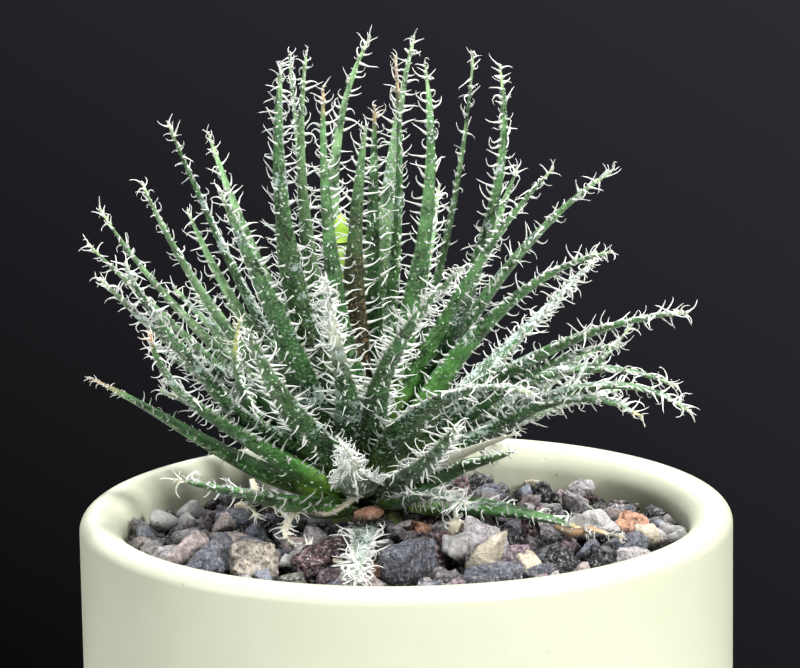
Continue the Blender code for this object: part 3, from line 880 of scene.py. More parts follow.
@dataclass
class AloeLeaf:
    """One tapering leaf with its hooked teeth, its raised dots and the star at its tip."""

    name: str
    skeleton: Skeleton
    look: Look
    seed: int
    replaced: tuple[str, ...] = ()
    stations: int = 40
    sides: int = 16
    fullness: float = 0.98
    base_fullness: float = 0.38
    least_half: float = 0.25 * MM
    tip_length: float = 0.25 * MM
    tooth_gap: float = 1.12 * MM
    tooth_length: float = 2.25 * MM
    tooth_root: float = 0.27 * MM
    tooth_middle: float = 0.085 * MM
    tooth_end: float = 0.045 * MM
    tooth_sunk: float = 0.12 * MM
    tooth_sides: int = 4
    last_tooth: float = 0.975
    edge_size: float = 1.0
    face_size: float = 0.38
    tuft_size: float = 0.9
    star_teeth: int = 6
    dot_gap: float = 0.6 * MM
    dot_radius: float = 0.18 * MM
    dot_sides: int = 5
    dot_lanes: tuple[float, ...] = (-2.2, -1.57, -0.94, 0.75, 1.2, 1.94, 2.39)

    deep: Colour = linear(15, 62, 22)
    fresh: Colour = linear(92, 158, 72)
    sage: Colour = linear(112, 160, 112)
    crown: Colour = linear(186, 226, 92)
    chalk: Colour = linear(226, 232, 220)
    milk: Colour = linear(250, 252, 248)

    def __post_init__(self) -> None:
        """Refines the line and settles the leaf's own widths and chances."""
        self.rng = np.random.default_rng(self.seed)
        fine = self.skeleton.refined(self.stations)
        s = np.linspace(0.0, 1.0, self.stations)
        waves = self.rng.uniform(0, 2 * math.pi, 4)
        ripple = 1.0 + 0.035 * np.sin(17 * s + waves[0]) + 0.03 * np.sin(31 * s + waves[1])
        full = (self.fullness + self.base_fullness * (1.0 - s)) * self.look.fullness
        half = fine.half * full * ripple
        least = self.least_half * np.sqrt(np.clip((1.0 - s) / 0.02, 0.0, 1.0))
        fine.half = np.maximum(half, least)
        fine.thick = np.maximum(fine.thick * full, 0.85 * least)
        self.fine = fine
        self.s = s
        self.size = fine.length

    def section(self, turn: Array) -> tuple[Array, Array]:
        """Outline at an angle, from the right edge at 0 over the flat side at a quarter turn.

        The width follows the cosine.  The flat side rises as sin^1.3 and sinks a little in
        its middle; the keel falls as sin^1.15.

        Args:
            turn: Angles in radians.

        Returns:
            Share of the half width, and share of the half thickness.
        """
        x, z = np.cos(turn), np.sin(turn)
        channel = 0.30 * np.exp(-((x / 0.42) ** 2))
        top = 0.62 * np.abs(z) ** 1.3 - channel * np.abs(z)
        keel = -0.92 * np.abs(z) ** 1.15
        return x, np.where(z >= 0, top, keel)

    def at(self, along: Array) -> tuple[Array, ...]:
        """What the line carries at shares of the length.

        Args:
            along: Shares of the length.

        Returns:
            Centre, across, upper, tangent, half width and half thickness.
        """
        fine = self.fine

        def vector(rows: Array) -> Array:
            """Rows of vectors read off at those shares."""
            return np.stack([np.interp(along, self.s, rows[:, i]) for i in range(3)], 1)

        return (
            vector(fine.centre),
            unit(vector(fine.across)),
            unit(vector(fine.upper)),
            unit(vector(fine.tangent)),
            np.interp(along, self.s, fine.half),
            np.interp(along, self.s, fine.thick),
        )

    def on_surface(self, along: Array, turn: Array) -> tuple[Array, Array]:
        """Points of the skin and the directions straight out of it.

        Args:
            along: Shares of the length.
            turn: Section angles.

        Returns:
            Points, and unit normals.
        """
        centre, across, upper, tangent, half, thick = self.at(along)

        def point(angle: Array) -> Array:
            """The skin at these section angles."""
            x, z = self.section(angle)
            return centre + across * (x * half)[:, None] + upper * (z * thick)[:, None]

        skin = point(turn)
        around = unit(point(turn + 0.25) - point(turn - 0.25))
        return skin, unit(np.cross(around, tangent))

    def colours(self, along: Array) -> Array:
        """Skin colour along the leaf.

        A lush leaf is fresh green low down and lime at the crown; any other is darkened there with
        painted shade, nearly to black.  Above, the deep green pales to sage, and the tip takes its
        own tint.

        Args:
            along: Shares of the length.

        Returns:
            A colour for each share.
        """
        look = self.look
        fresh = look.lush * (1.0 - eased(0.12, 0.75, along))
        sage = (0.8 - 0.6 * look.silver) * eased(0.25, 0.95, along)
        # painted shade: the low part of a leaf that is not lush is darkened as if the leaves round
        # the crown shaded it
        shade = 0.75 * (1.0 - look.lush) * (1.0 - eased(0.1, 0.5, along))
        crown = 0.8 * look.lush * (1.0 - eased(0.0, 0.28, along))
        skin = np.tile(np.array(self.deep), (len(along), 1))
        skin = blended(skin, np.array(self.fresh), fresh)
        skin = blended(skin, np.array(self.sage), sage)
        skin = skin * (1.0 - shade)[:, None]
        skin = blended(skin, np.array(self.crown), crown)
        skin = blended(skin, np.array(self.chalk), np.full(len(along), look.pale))
        tint, reach = look.tip.value
        faded = 0.95 * eased(1.0 - 1.6 * reach, 1.0 - 0.5 * reach, along)
        return blended(skin, np.array(tint), faded)

    def marked(self, patch: Patch, skin: Array, tooth: Array | float) -> Patch:
        """Gives a patch of teeth or dots its marks: a skin colour, no silver and no brown.

        Args:
            patch: The teeth or dots.
            skin: A colour for each point.
            tooth: How far each point is tooth and not skin, from 0 to 1.

        Returns:
            The same patch.
        """
        zero = np.zeros(len(patch.points))
        patch.marks = {"skin": skin, "silver": zero, "brown": zero, "tooth": zero + tooth}
        return patch

    def body(self) -> Patch:
        """The leaf's own skin, its rings closed on poles at the seat and the tip.

        Returns:
            One closed surface.
        """
        turn = corners_of(self.sides) - math.pi / 2
        x, z = self.section(turn)
        fine = self.fine
        rings = (
            fine.centre[:, None]
            + fine.across[:, None] * (x[None, :, None] * fine.half[:, None, None])
            + fine.upper[:, None] * (z[None, :, None] * fine.thick[:, None, None])
        )[None]
        tip = fine.centre[-1:] + fine.tangent[-1:] * self.tip_length
        seat = rings[:, 0].mean(1)
        patch = tubes(rings[:, :-1], seat, tip, MAP_CORNER, np.array([0.70, 0.98]))
        along = self.s[:-1]
        # silver, the share of bloom and painted sheen, is stronger on the flat side and higher up
        # the leaf
        facing = 0.55 + 0.45 * np.clip(0.5 + 1.2 * np.sin(turn), 0, 1)
        rising = 0.4 + 0.6 * eased(0.08, 0.35, along)
        silver = self.look.silver * facing[None] * rising[:, None]
        ends = np.array([silver[0].mean(), silver[-1].mean()])
        brown = self.look.brown * (1 - eased(0.45, 0.85, along))
        patch.marks = {
            "skin": per_point(self.colours(along)[None], self.sides),
            "silver": np.concatenate([silver.ravel(), ends]),
            "brown": per_point(brown[None], self.sides),
            "tooth": np.full(len(patch.points), self.look.smooth),
        }
        return patch

    def places(self, row: ToothRow) -> tuple[Array, Array]:
        """Where one row of teeth stands.

        Args:
            row: The row.

        Returns:
            Shares along, and section angles.
        """
        gap = row.gap * self.tooth_gap
        span = self.last_tooth - row.start
        count = max(int(span * self.size / gap * self.look.crowding), 2)
        along = row.start + span * (np.arange(count) + 0.5) / count
        along = along + self.rng.normal(0.0, 0.22 * gap / self.size, count)
        angle = row.turn + self.rng.normal(0.0, row.spread, count)
        kept = self.rng.random(count) < row.chance
        return along[kept].clip(0.02, 0.99), angle[kept]

    def rows(self) -> list[ToothRow]:
        """The rows: dense on both edges, looser on the keel, and scattered on the faces.

        Returns:
            The rows, in the order in which they are drawn.
        """
        edges = [ToothRow(turn, 0.05, 1.0, 0.10, 0.97, self.edge_size) for turn in (0.0, math.pi)]
        keel = ToothRow(-math.pi / 2, 0.22, 1.8, 0.12, 0.8, 0.7)
        sparse = 0.2 + 0.45 * self.look.silver
        faces = [
            ToothRow(turn, start, 3.0, spread, sparse, self.face_size)
            for turn, start, spread in (
                (-0.85, 0.30, 0.25),
                (-math.pi + 0.85, 0.30, 0.25),
                (0.95, 0.20, 0.22),
                (math.pi - 0.95, 0.20, 0.22),
            )
        ]
        return [*edges, keel, *faces]

    def teeth(self) -> Patch:
        """All the hooked teeth: the rows, a tuft near the tip and the star on it.

        Returns:
            One closed cone for each tooth.
        """
        rng, look = self.rng, self.look
        rows = self.rows()
        places = [self.places(row) for row in rows]
        places.append((rng.uniform(0.70, 0.99, look.tuft), rng.uniform(0, 2 * math.pi, look.tuft)))
        factors = [row.size for row in rows] + [self.tuft_size]
        along = np.concatenate([place[0] for place in places])
        turn = np.concatenate([place[1] for place in places])
        share = np.repeat(factors, [len(place[0]) for place in places])
        on_edge = (share == self.edge_size).astype(float)
        count = len(along)
        root, out = self.on_surface(along, turn)
        _, _, upper, tangent, _, _ = self.at(along)
        lean = rng.normal(0.26, 0.20, count)
        rise = on_edge * rng.normal(0.22, 0.2, count)
        start = unit(out + tangent * lean[:, None] + upper * rise[:, None])
        swing = rng.normal(0.0, 0.75, count)
        sideways = np.cross(tangent, out)
        goal = tangent * np.cos(swing)[:, None] + sideways * np.sin(swing)[:, None]
        wild = eased(0.62, 1.0, along)
        turned_back = rng.random(count) < 0.10 + 0.28 * wild
        goal = unit(goal * np.where(turned_back, -1.0, 1.0)[:, None])
        curl = np.abs(rng.normal(0.85, 0.5, count)) + wild * np.abs(rng.normal(0.6, 0.6, count))
        size = self.tooth_length * look.teeth * (0.42 + 0.58 * eased(0.0, 0.42, along))
        size = size * rng.uniform(0.7, 1.25, count) * share
        size = size * (1.0 - 0.1 * eased(0.88, 1.0, along))
        wave = rng.normal(0.0, 0.32, count)
        cones = [
            Teeth(root, start, goal, curl * look.curl, size, wave, along),
            self.tip_star(),
        ]
        joined = [np.concatenate([getattr(c, f.name) for c in cones]) for f in fields(Teeth)]
        return self.cones(Teeth(*joined))

    def tip_star(self) -> Teeth:
        """The few long teeth that spray out round the leaf's tip.

        Returns:
            The teeth, before they are shaped.
        """
        rng, count = self.rng, self.star_teeth
        along = np.linspace(0.965, 0.999, count)
        centre, across, upper, tangent, half, _ = self.at(along)
        turn = rng.uniform(0, 2 * math.pi) + np.arange(count) * 2.4
        out = across * np.cos(turn)[:, None] + upper * np.sin(turn)[:, None]
        start = unit(out + tangent * rng.uniform(0.3, 1.5, count)[:, None])
        goal = unit(rng.normal(0, 1, (count, 3)) + tangent * 0.4)
        curl = np.abs(rng.normal(1.0, 0.6, count))
        size = self.tooth_length * self.look.teeth * rng.uniform(0.55, 0.95, count)
        root = centre + out * half[:, None] * 0.5
        return Teeth(root, start, goal, curl, size, rng.normal(0, 0.25, count), along)

    def cones(self, teeth: Teeth) -> Patch:
        """Shapes teeth as thin cones that curl more and more towards their ends.

        At share t of its length a tooth has turned by 1.25 curl t^1.5 + wave sin(2 pi t).
        Its radius is (root - middle) (1 - t)^4 plus a hair, which thins from middle to end
        as (1 - t)^0.8.  Short teeth are thinner.

        Args:
            teeth: Their places and bends.

        Returns:
            The cones, marked as teeth.
        """
        t = np.array([0.0, 0.10, 0.26, 0.46, 0.66, 0.84, 1.0])
        start, size, along = teeth.start, teeth.size, teeth.along
        axis = unit(np.cross(start, teeth.goal) + 1e-6)
        flat = np.cross(axis, start)
        middle = (t[1:] + t[:-1]) / 2
        hook = teeth.curl[:, None] * middle**1.5 * 1.25
        bend = hook + teeth.wave[:, None] * np.sin(2 * math.pi * middle)
        moves = start[:, None] * np.cos(bend)[..., None] + flat[:, None] * np.sin(bend)[..., None]
        moves = moves * (np.diff(t)[None] * size[:, None])[..., None]
        line = teeth.root[:, None] - start[:, None] * self.tooth_sunk
        line = np.concatenate([line, line + np.cumsum(moves, axis=1)], axis=1)
        heading = unit(np.gradient(line, axis=1))
        second = unit(np.cross(heading, axis[:, None]))
        hair = self.tooth_end + (self.tooth_middle - self.tooth_end) * (1 - t) ** 0.8
        radius = (self.tooth_root - self.tooth_middle) * (1 - t) ** 4.0 + hair
        radius = radius[None] * (size / self.tooth_length)[:, None].clip(0.55, 1.2) ** 0.6
        ways = spokes(second[:, :-1], axis[:, None], corners_of(self.tooth_sides))
        rings = line[:, :-1, None] + radius[:, :-1, None, None] * ways
        corners = np.stack([0.745 + 0.20 * along, np.full(len(along), 0.02)], 1)
        patch = tubes(rings, line[:, 0], line[:, -1], corners, np.array([0.008, 0.96]))
        shade = np.clip(0.42 + 3.4 * t[:-1], 0.0, 1.0)
        base = self.colours(along)
        skin = base[:, None] + (self.tooth_colours(along) - base)[:, None] * shade[None, :, None]
        tooth = np.broadcast_to(shade, (len(along), len(shade)))
        sides = self.tooth_sides
        return self.marked(patch, per_point(skin, sides), per_point(tooth, sides))

    def tooth_colours(self, along: Array) -> Array:
        """Milk white for each tooth, warmed near a tip that is dry.

        Args:
            along: Shares of the leaf's length where the teeth stand.

        Returns:
            A colour for each tooth.
        """
        tone = self.rng.uniform(0.9, 1.0, (len(along), 1))
        white = np.array(self.milk)
        milk = np.tile(white, (len(along), 1)) * tone
        if self.look.tip is TipTint.GREEN:
            return milk
        tint, reach = self.look.tip.value
        warmed = 0.6 * eased(1 - 1.5 * reach, 1 - 0.4 * reach, along)
        return blended(milk, 0.5 * np.array(tint) + 0.5 * white, warmed)

    def dots(self) -> Patch:
        """Low pale domes scattered in loose rows over both faces.

        Returns:
            One closed dome for each dot.
        """
        rng = self.rng
        count = int(self.size / self.dot_gap)
        along = rng.uniform(0.05, 0.95, count)
        turn = rng.choice(np.array(self.dot_lanes), count) + rng.normal(0, 0.12, count)
        point, out = self.on_surface(along, turn)
        size = self.dot_radius * rng.uniform(0.6, 1.25, count) * (0.7 + 0.3 * (1 - along))
        tangent = self.at(along)[3]
        second = unit(np.cross(out, tangent))
        ring = spokes(np.cross(second, out), second, corners_of(self.dot_sides))
        levels, widths = np.array([-0.35, 0.25]), np.array([1.0, 0.72])
        rings = (
            point[:, None, None]
            + ring[:, None] * (widths[None, :] * size[:, None])[..., None, None]
            + out[:, None, None] * (levels[None, :] * size[:, None])[..., None, None]
        )
        corners = np.stack([np.full(count, 0.965), 0.02 + 0.9 * along], 1)
        foot = point - out * 0.5 * size[:, None]
        peak = point + out * 0.62 * size[:, None]
        patch = tubes(rings, foot, peak, corners, np.array([0.02, 0.03]))
        skin = blended(self.colours(along), np.array(self.milk), rng.uniform(0.5, 1.0, count))
        skin = np.repeat(skin[:, None], len(levels), 1)
        return self.marked(patch, per_point(skin, self.dot_sides), 0.85)

    def build(self, material: bpy.types.Material) -> bpy.types.Object:
        """Makes the leaf as one piece."""
        patch = Patch.joined([self.body(), self.teeth(), self.dots()])
        return make_piece(self.name, patch, material, self.replaced)


# Leaves that differ from the plain green and plain silver ones, by the leaf's number.
LOOKS = {
    1: Look(tip=TipTint.TAN, lush=0.55),
    6: Look(tip=TipTint.RUSSET, silver=0.1),
    7: Look(brown=1.0, lush=0.2, silver=0.1, fullness=1.1),
    8: Look(tip=TipTint.RUSSET, silver=0.2),
    9: Look(lush=0.4, silver=0.15, fullness=1.1),
    10: Look(lush=0.55, silver=0.1),
    13: Look(silver=0.65, lush=0.2, fullness=1.1, crowding=1.7, curl=1.3, tuft=44),
    20: Look(silver=0.7, lush=0.3),
    23: Look(silver=0.6, brown=0.2),
    25: Look(silver=0.9, lush=0.25, crowding=1.1),
    26: Look(silver=0.9, tip=TipTint.FROST, tuft=60, fullness=0.6),
    27: Look(silver=0.4, crowding=1.1, curl=1.4, tuft=16, fullness=0.9),
    28: Look(silver=0.8),
    31: Look(lush=0.8, silver=0.4),
    38: Look(silver=0.0, lush=0.5, tip=TipTint.TAN, teeth=0.6, crowding=0.8),
    39: Look(tip=TipTint.LIME, lush=0.7),
    40: Look(silver=0.9, crowding=1.1),
    41: Look(tip=TipTint.AMBER, lush=0.6, silver=0.5),
    42: Look(lush=0.7, tip=TipTint.STRAW, teeth=1.1, crowding=0.85, curl=1.5, fullness=1.3),
    44: Look(
        silver=1.0, pale=0.1, tip=TipTint.FROST, teeth=0.8, crowding=1.3, curl=1.5, tuft=70,
        smooth=0.3,
    ),
    45: Look(silver=0.9, pale=0.15, teeth=1.35, curl=1.6, fullness=0.55, tuft=34),
    46: Look(silver=0.5, crowding=1.1),
    47: Look(silver=0.5, lush=0.7, crowding=1.3, curl=1.5, tuft=24),
    48: Look(
        silver=0.0, pale=1.0, tip=TipTint.CREAM, teeth=0.5, crowding=0.3, fullness=0.85, smooth=1.0
    ),
    49: Look(silver=0.3, lush=0.6, teeth=0.75, crowding=1.3, fullness=1.45),
    50: Look(tip=TipTint.STRAW, silver=0.6),
    52: Look(silver=0.3, lush=0.9, tip=TipTint.EMBER, teeth=0.8, curl=1.4, fullness=1.1),
}


class Low(NamedTuple):
    """A low leaf behind: heading, rise at the seat and at the tip in degrees, length in mm."""

    azimuth: float
    lift: float
    tip_lift: float
    length: float


@dataclass
class Rosette:
    """All the leaves of the aloe, with a few low ones behind that only the looks need."""

    crown: Array
    leaf_count: int = 52
    last_upright: int = 13
    last_green: int = 22
    seed: int = 4200
    plain_green: Look = Look(silver=0.1, pale=0.08, lush=0.5)
    plain_silver: Look = Look(silver=0.5, lush=0.12)
    looks: dict[int, Look] = field(default_factory=lambda: LOOKS)
    skirt: tuple[Low, ...] = (
        Low(30, 16, 30, 33),
        Low(52, 6, 18, 30),
        Low(76, 16, 34, 34),
        Low(98, 6, 20, 30),
        Low(122, 16, 32, 32),
        Low(146, 22, 40, 30),
        Low(24, 46, 36, 32),
        Low(9, 40, 22, 31),
        Low(17, 28, 6, 33),
        Low(160, 50, 46, 33),
        Low(173, 42, 34, 30),
        Low(190, 34, 30, 27),
    )
    skirt_look: Look = Look(silver=0.8, pale=0.1)
    skirt_seat: float = 3.0
    skirt_width: float = 4.2 * MM
    skirt_sweep: float = 8.0

    def look_of(self, number: int) -> Look:
        """The look of a leaf.

        The low silver leaves and leaf 12 are stouter and toothier than the rest; the
        upright ones are the slimmest.

        Args:
            number: The leaf's number.

        Returns:
            Its look.
        """
        silvery = number > self.last_green or number == 12
        look = self.looks.get(number, self.plain_silver if silvery else self.plain_green)
        if silvery:
            full, crowd, teeth = 1.42, 1.15, 1.15
        else:
            full, crowd, teeth = 0.88 if number <= self.last_upright else 1.2, 0.88, 1.0
        return replace(
            look,
            fullness=full * look.fullness,
            crowding=crowd * look.crowding,
            teeth=teeth * look.teeth,
        )

    def build(self) -> None:
        """Makes every leaf, then the low ones behind and the dead ones."""
        material = LeafSkin().material()
        for number in range(1, self.leaf_count + 1):
            node = f"leaf_{number:02d}"
            line = Skeleton.from_node(node, self.crown)
            look, seed = self.look_of(number), self.seed + number
            AloeLeaf(f"aloe_{node}", line, look, seed, (node,)).build(material)
        for number, low in enumerate(self.skirt, 1):
            turn = math.radians(low.azimuth)
            reach = self.skirt_seat
            seat = self.crown + np.array([reach * math.cos(turn), reach * math.sin(turn), 0.5]) * MM
            size = low.length * MM, self.skirt_width, self.skirt_sweep
            line = Skeleton.arched(seat, low.azimuth, low.lift, low.tip_lift, *size)
            seed = self.seed + 100 + number
            AloeLeaf(f"aloe_skirt_{number}", line, self.skirt_look, seed).build(material)
        Litter(self.seed + 210).build(material)


class Scrap(NamedTuple):
    """A dead leaf: name, node it stands for, greatest width in mm, look and line.

    The line's points are in millimetres, their heights above the gravel's front.
    """

    name: str
    replaced: tuple[str, ...]
    width: float
    look: Look
    line: tuple[tuple[float, float, float], ...]


CREAM_SCRAP = Look(
    silver=0.0, pale=0.75, tip=TipTint.CREAM, teeth=0.75, crowding=1.6, curl=0.8, smooth=0.85
)
RUSSET_SCRAP = replace(CREAM_SCRAP, pale=0.15, tip=TipTint.DRY)


@dataclass
class Litter:
    """The dead leaves on the gravel, shrivelled and cream, with teeth curled up tight."""

    seed: int
    scraps: tuple[Scrap, ...] = (
        Scrap(
            "litter_main", ("dried_leaf",), 1.1, CREAM_SCRAP,
            (
                (-4.5, -4, 6.5), (-6.5, -5, 5), (-9.5, -5.5, 3.5), (-12, -6, 4), (-13.5, -7, 4),
                (-14.5, -8, 2.5), (-14.5, -9, 1.5), (-13, -10, 0.5), (-11.5, -10, 1),
            ),
        ),
        Scrap(
            "litter_1", (), 1.3, CREAM_SCRAP,
            ((-18.5, -8, 8.5), (-18, -8.5, 7), (-17, -9, 6), (-16, -9.5, 5.5), (-14.5, -10, 4.5)),
        ),
        Scrap(
            "litter_2", (), 1.3, CREAM_SCRAP,
            ((-20.5, -7.5, 5), (-19.5, -8, 5.5), (-18.5, -8.5, 5), (-18, -9, 4)),
        ),
        Scrap(
            "litter_3", (), 1.5, CREAM_SCRAP,
            ((5.5, -13.5, 2.5), (6, -14, 4), (6, -14, 5), (5.5, -14, 6.5)),
        ),
        Scrap(
            "litter_4", (), 1.7, RUSSET_SCRAP,
            ((18, -9.5, 2.5), (20, -10.5, 2), (22, -11, 2.5), (24, -11.5, 2), (26, -11.5, 1.5)),
        ),
        Scrap(
            "litter_5", (), 1.2, CREAM_SCRAP,
            ((-8.5, -20, 1.5), (-7, -21, 1), (-6, -22, 0.5), (-4.5, -22.5, 1)),
        ),
    )
    tooth_root: float = 0.3 * MM
    tooth_middle: float = 0.15 * MM

    deep: Colour = linear(210, 156, 106)
    straw: Colour = linear(236, 206, 164)
    crown: Colour = linear(226, 168, 122)
    chalk: Colour = linear(252, 240, 216)

    def build(self, material: bpy.types.Material) -> None:
        """Makes each scrap as a leaf of its own in straw colours.

        Args:
            material: The leaf material.
        """
        colours = {
            "deep": self.deep,
            "fresh": self.straw,
            "sage": self.straw,
            "crown": self.crown,
            "chalk": self.chalk,
        }
        ground = np.array([0.0, 0.0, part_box("gravel_bed")[1].z])
        for number, scrap in enumerate(self.scraps):
            AloeLeaf(
                scrap.name,
                Skeleton.through(np.array(scrap.line) * MM + ground, scrap.width * MM),
                scrap.look,
                self.seed + number,
                scrap.replaced,
                tooth_root=self.tooth_root,
                tooth_middle=self.tooth_middle,
                **colours,
            ).build(material)


# Pot


@dataclass
class Pot:
    """The round pot: straight wall, rounded lip, foot ring and drain hole."""

    radius: float
    height: float
    outer_round: float = 1.9 * MM
    inner_round: float = 3.35 * MM
    base_round: float = 3.0 * MM
    foot_inner: float = 29.0 * MM
    recess: float = 2.5 * MM
    floor_top: float = 8.0 * MM
    fillet: float = 4.0 * MM
    drain: float = 5.0 * MM
    chamfer: float = 0.6 * MM
    turns: int = 192
    arc_steps: int = 12

    def arc(self, middle: tuple[float, float], radius: float, first: float, last: float) -> Array:
        """Points of a round corner between two angles in degrees."""
        angle = np.radians(np.linspace(first, last, self.arc_steps + 1))
        return np.array(middle) + radius * np.stack([np.cos(angle), np.sin(angle)], 1)

    def profile(self) -> Array:
        """The outline from under the floor, out, up the wall, over the lip and down the bore.

        Returns:
            Rows of radius and height.
        """
        outer, inner = self.outer_round, self.inner_round
        base, fillet = self.base_round, self.fillet
        bore = self.radius - (outer + inner)
        crest = self.radius - outer
        under = self.foot_inner
        step = self.chamfer
        side = np.linspace(base, self.height - outer, 24)[1:-1]
        shaft = np.linspace(self.height - inner, self.floor_top + fillet, 18)[1:-1]
        return np.concatenate(
            [
                [[self.drain + step, self.recess], [under - step, self.recess]],
                [[under, self.recess - step], [under, step], [under + step, 0.0]],
                self.arc((self.radius - base, base), base, -90, 0),
                np.stack([np.full(len(side), self.radius), side], 1),
                self.arc((crest, self.height - outer), outer, 0, 90),
                self.arc((crest, self.height - inner), inner, 90, 180)[1:],
                np.stack([np.full(len(shaft), bore), shaft], 1),
                self.arc((bore - fillet, self.floor_top + fillet), fillet, 0, -90),
                [[self.drain + step, self.floor_top], [self.drain, self.floor_top - step]],
                [[self.drain, self.recess + step]],
            ]
        )

    def build(self) -> None:
        """Turns the outline round the axis; the last point joins the first, so it is closed."""
        outline = self.profile()
        rows, columns = len(outline), self.turns
        grid = np.meshgrid(np.arange(rows), np.arange(columns), indexing="ij")
        i, j = grid[0].ravel(), grid[1].ravel()
        low, high = i * columns, (i + 1) % rows * columns
        after = (j + 1) % columns
        quads = np.stack([low + j, low + after, high + after, high + j], 1)
        steps = np.linalg.norm(np.roll(outline, -1, axis=0) - outline, axis=1)
        run = np.concatenate([[0.0], np.cumsum(steps)])
        run = 0.005 + 0.99 * run / run[-1]
        around = 0.005 + 0.99 * np.stack([j, j + 1, j + 1, j], 1) / columns
        along = np.stack([run[i], run[i], run[i + 1], run[i + 1]], 1)
        patch = Patch(
            turned(outline, columns).reshape(-1, 3),
            quads,
            np.zeros((0, 3), int),
            np.stack([around, along], -1),
            np.zeros((0, 3, 2)),
        )
        make_piece("glazed_pot", patch, Glaze().material(), ("pot",))


# Gravel


class Rock(Enum):
    """A kind of chip: tint, how grainy and how porous it is, and its share of the gravel."""

    SLATE = (linear(116, 119, 132), 0.6, 0.0, 0.20)
    ASH = (linear(180, 174, 178), 0.7, 0.1, 0.22)
    MAUVE = (linear(150, 130, 140), 0.7, 0.4, 0.15)
    ROSE = (linear(208, 190, 188), 0.6, 0.15, 0.12)
    TAN = (linear(190, 180, 166), 0.8, 0.2, 0.03)
    CREAM = (linear(250, 238, 214), 0.2, 0.0, 0.035)
    QUARTZ = (linear(253, 250, 250), 0.15, 0.0, 0.08)
    SCORIA = (linear(116, 88, 94), 0.85, 1.0, 0.07)
    RUST = (linear(236, 178, 146), 0.5, 0.3, 0.02)
    COAL = (linear(64, 64, 70), 0.9, 0.6, 0.06)
    MOSS = (linear(134, 137, 124), 0.7, 0.2, 0.015)


class Chip(NamedTuple):
    """A listed chip: place, size and lift in millimetres, turn in degrees."""

    x: float
    y: float
    long: float
    wide: float
    tall: float
    turn: float
    rock: Rock
    lift: float
    sharpness: float


class Grade(NamedTuple):
    """Chips poured as one piece: how many, their radii in mm and how their meshes are cut.

    Ceiling is how far above the gravel's level the top of a chip may stand, in mm.
    """

    name: str
    number: int
    least: float
    most: float
    ceiling: float
    rows: int
    columns: int
    facets: int


@dataclass
class Batch:
    """Stones before they are shaped, with one row of each array for each stone.

    Size holds half sizes along the stone's own axes, turn its angles about the three axes in
    radians, and sharpness the power of its edges.  Rows and columns are the rings and points
    of a stone's mesh, facets its cuts, and tone the least and greatest factor on its tint.
    """

    centre: Array
    size: Array
    turn: Array
    rocks: list[Rock]
    sharpness: Array
    rows: int
    columns: int
    facets: int
    tone: tuple[float, float]


def spins(turn: Array) -> Array:
    """Rotation matrices that turn about X, then Y, then Z.

    Args:
        turn: Rows of three angles, in radians.

    Returns:
        One 3 x 3 matrix for each row.
    """
    steps = []
    for axis in range(3):
        one, other = (axis + 1) % 3, (axis + 2) % 3
        cos, sin = np.cos(turn[:, axis]), np.sin(turn[:, axis])
        step = np.zeros((len(turn), 3, 3))
        step[:, axis, axis] = 1.0
        step[:, one, one] = cos
        step[:, other, other] = cos
        step[:, other, one] = sin
        step[:, one, other] = -sin
        steps.append(step)
    return steps[2] @ steps[1] @ steps[0]


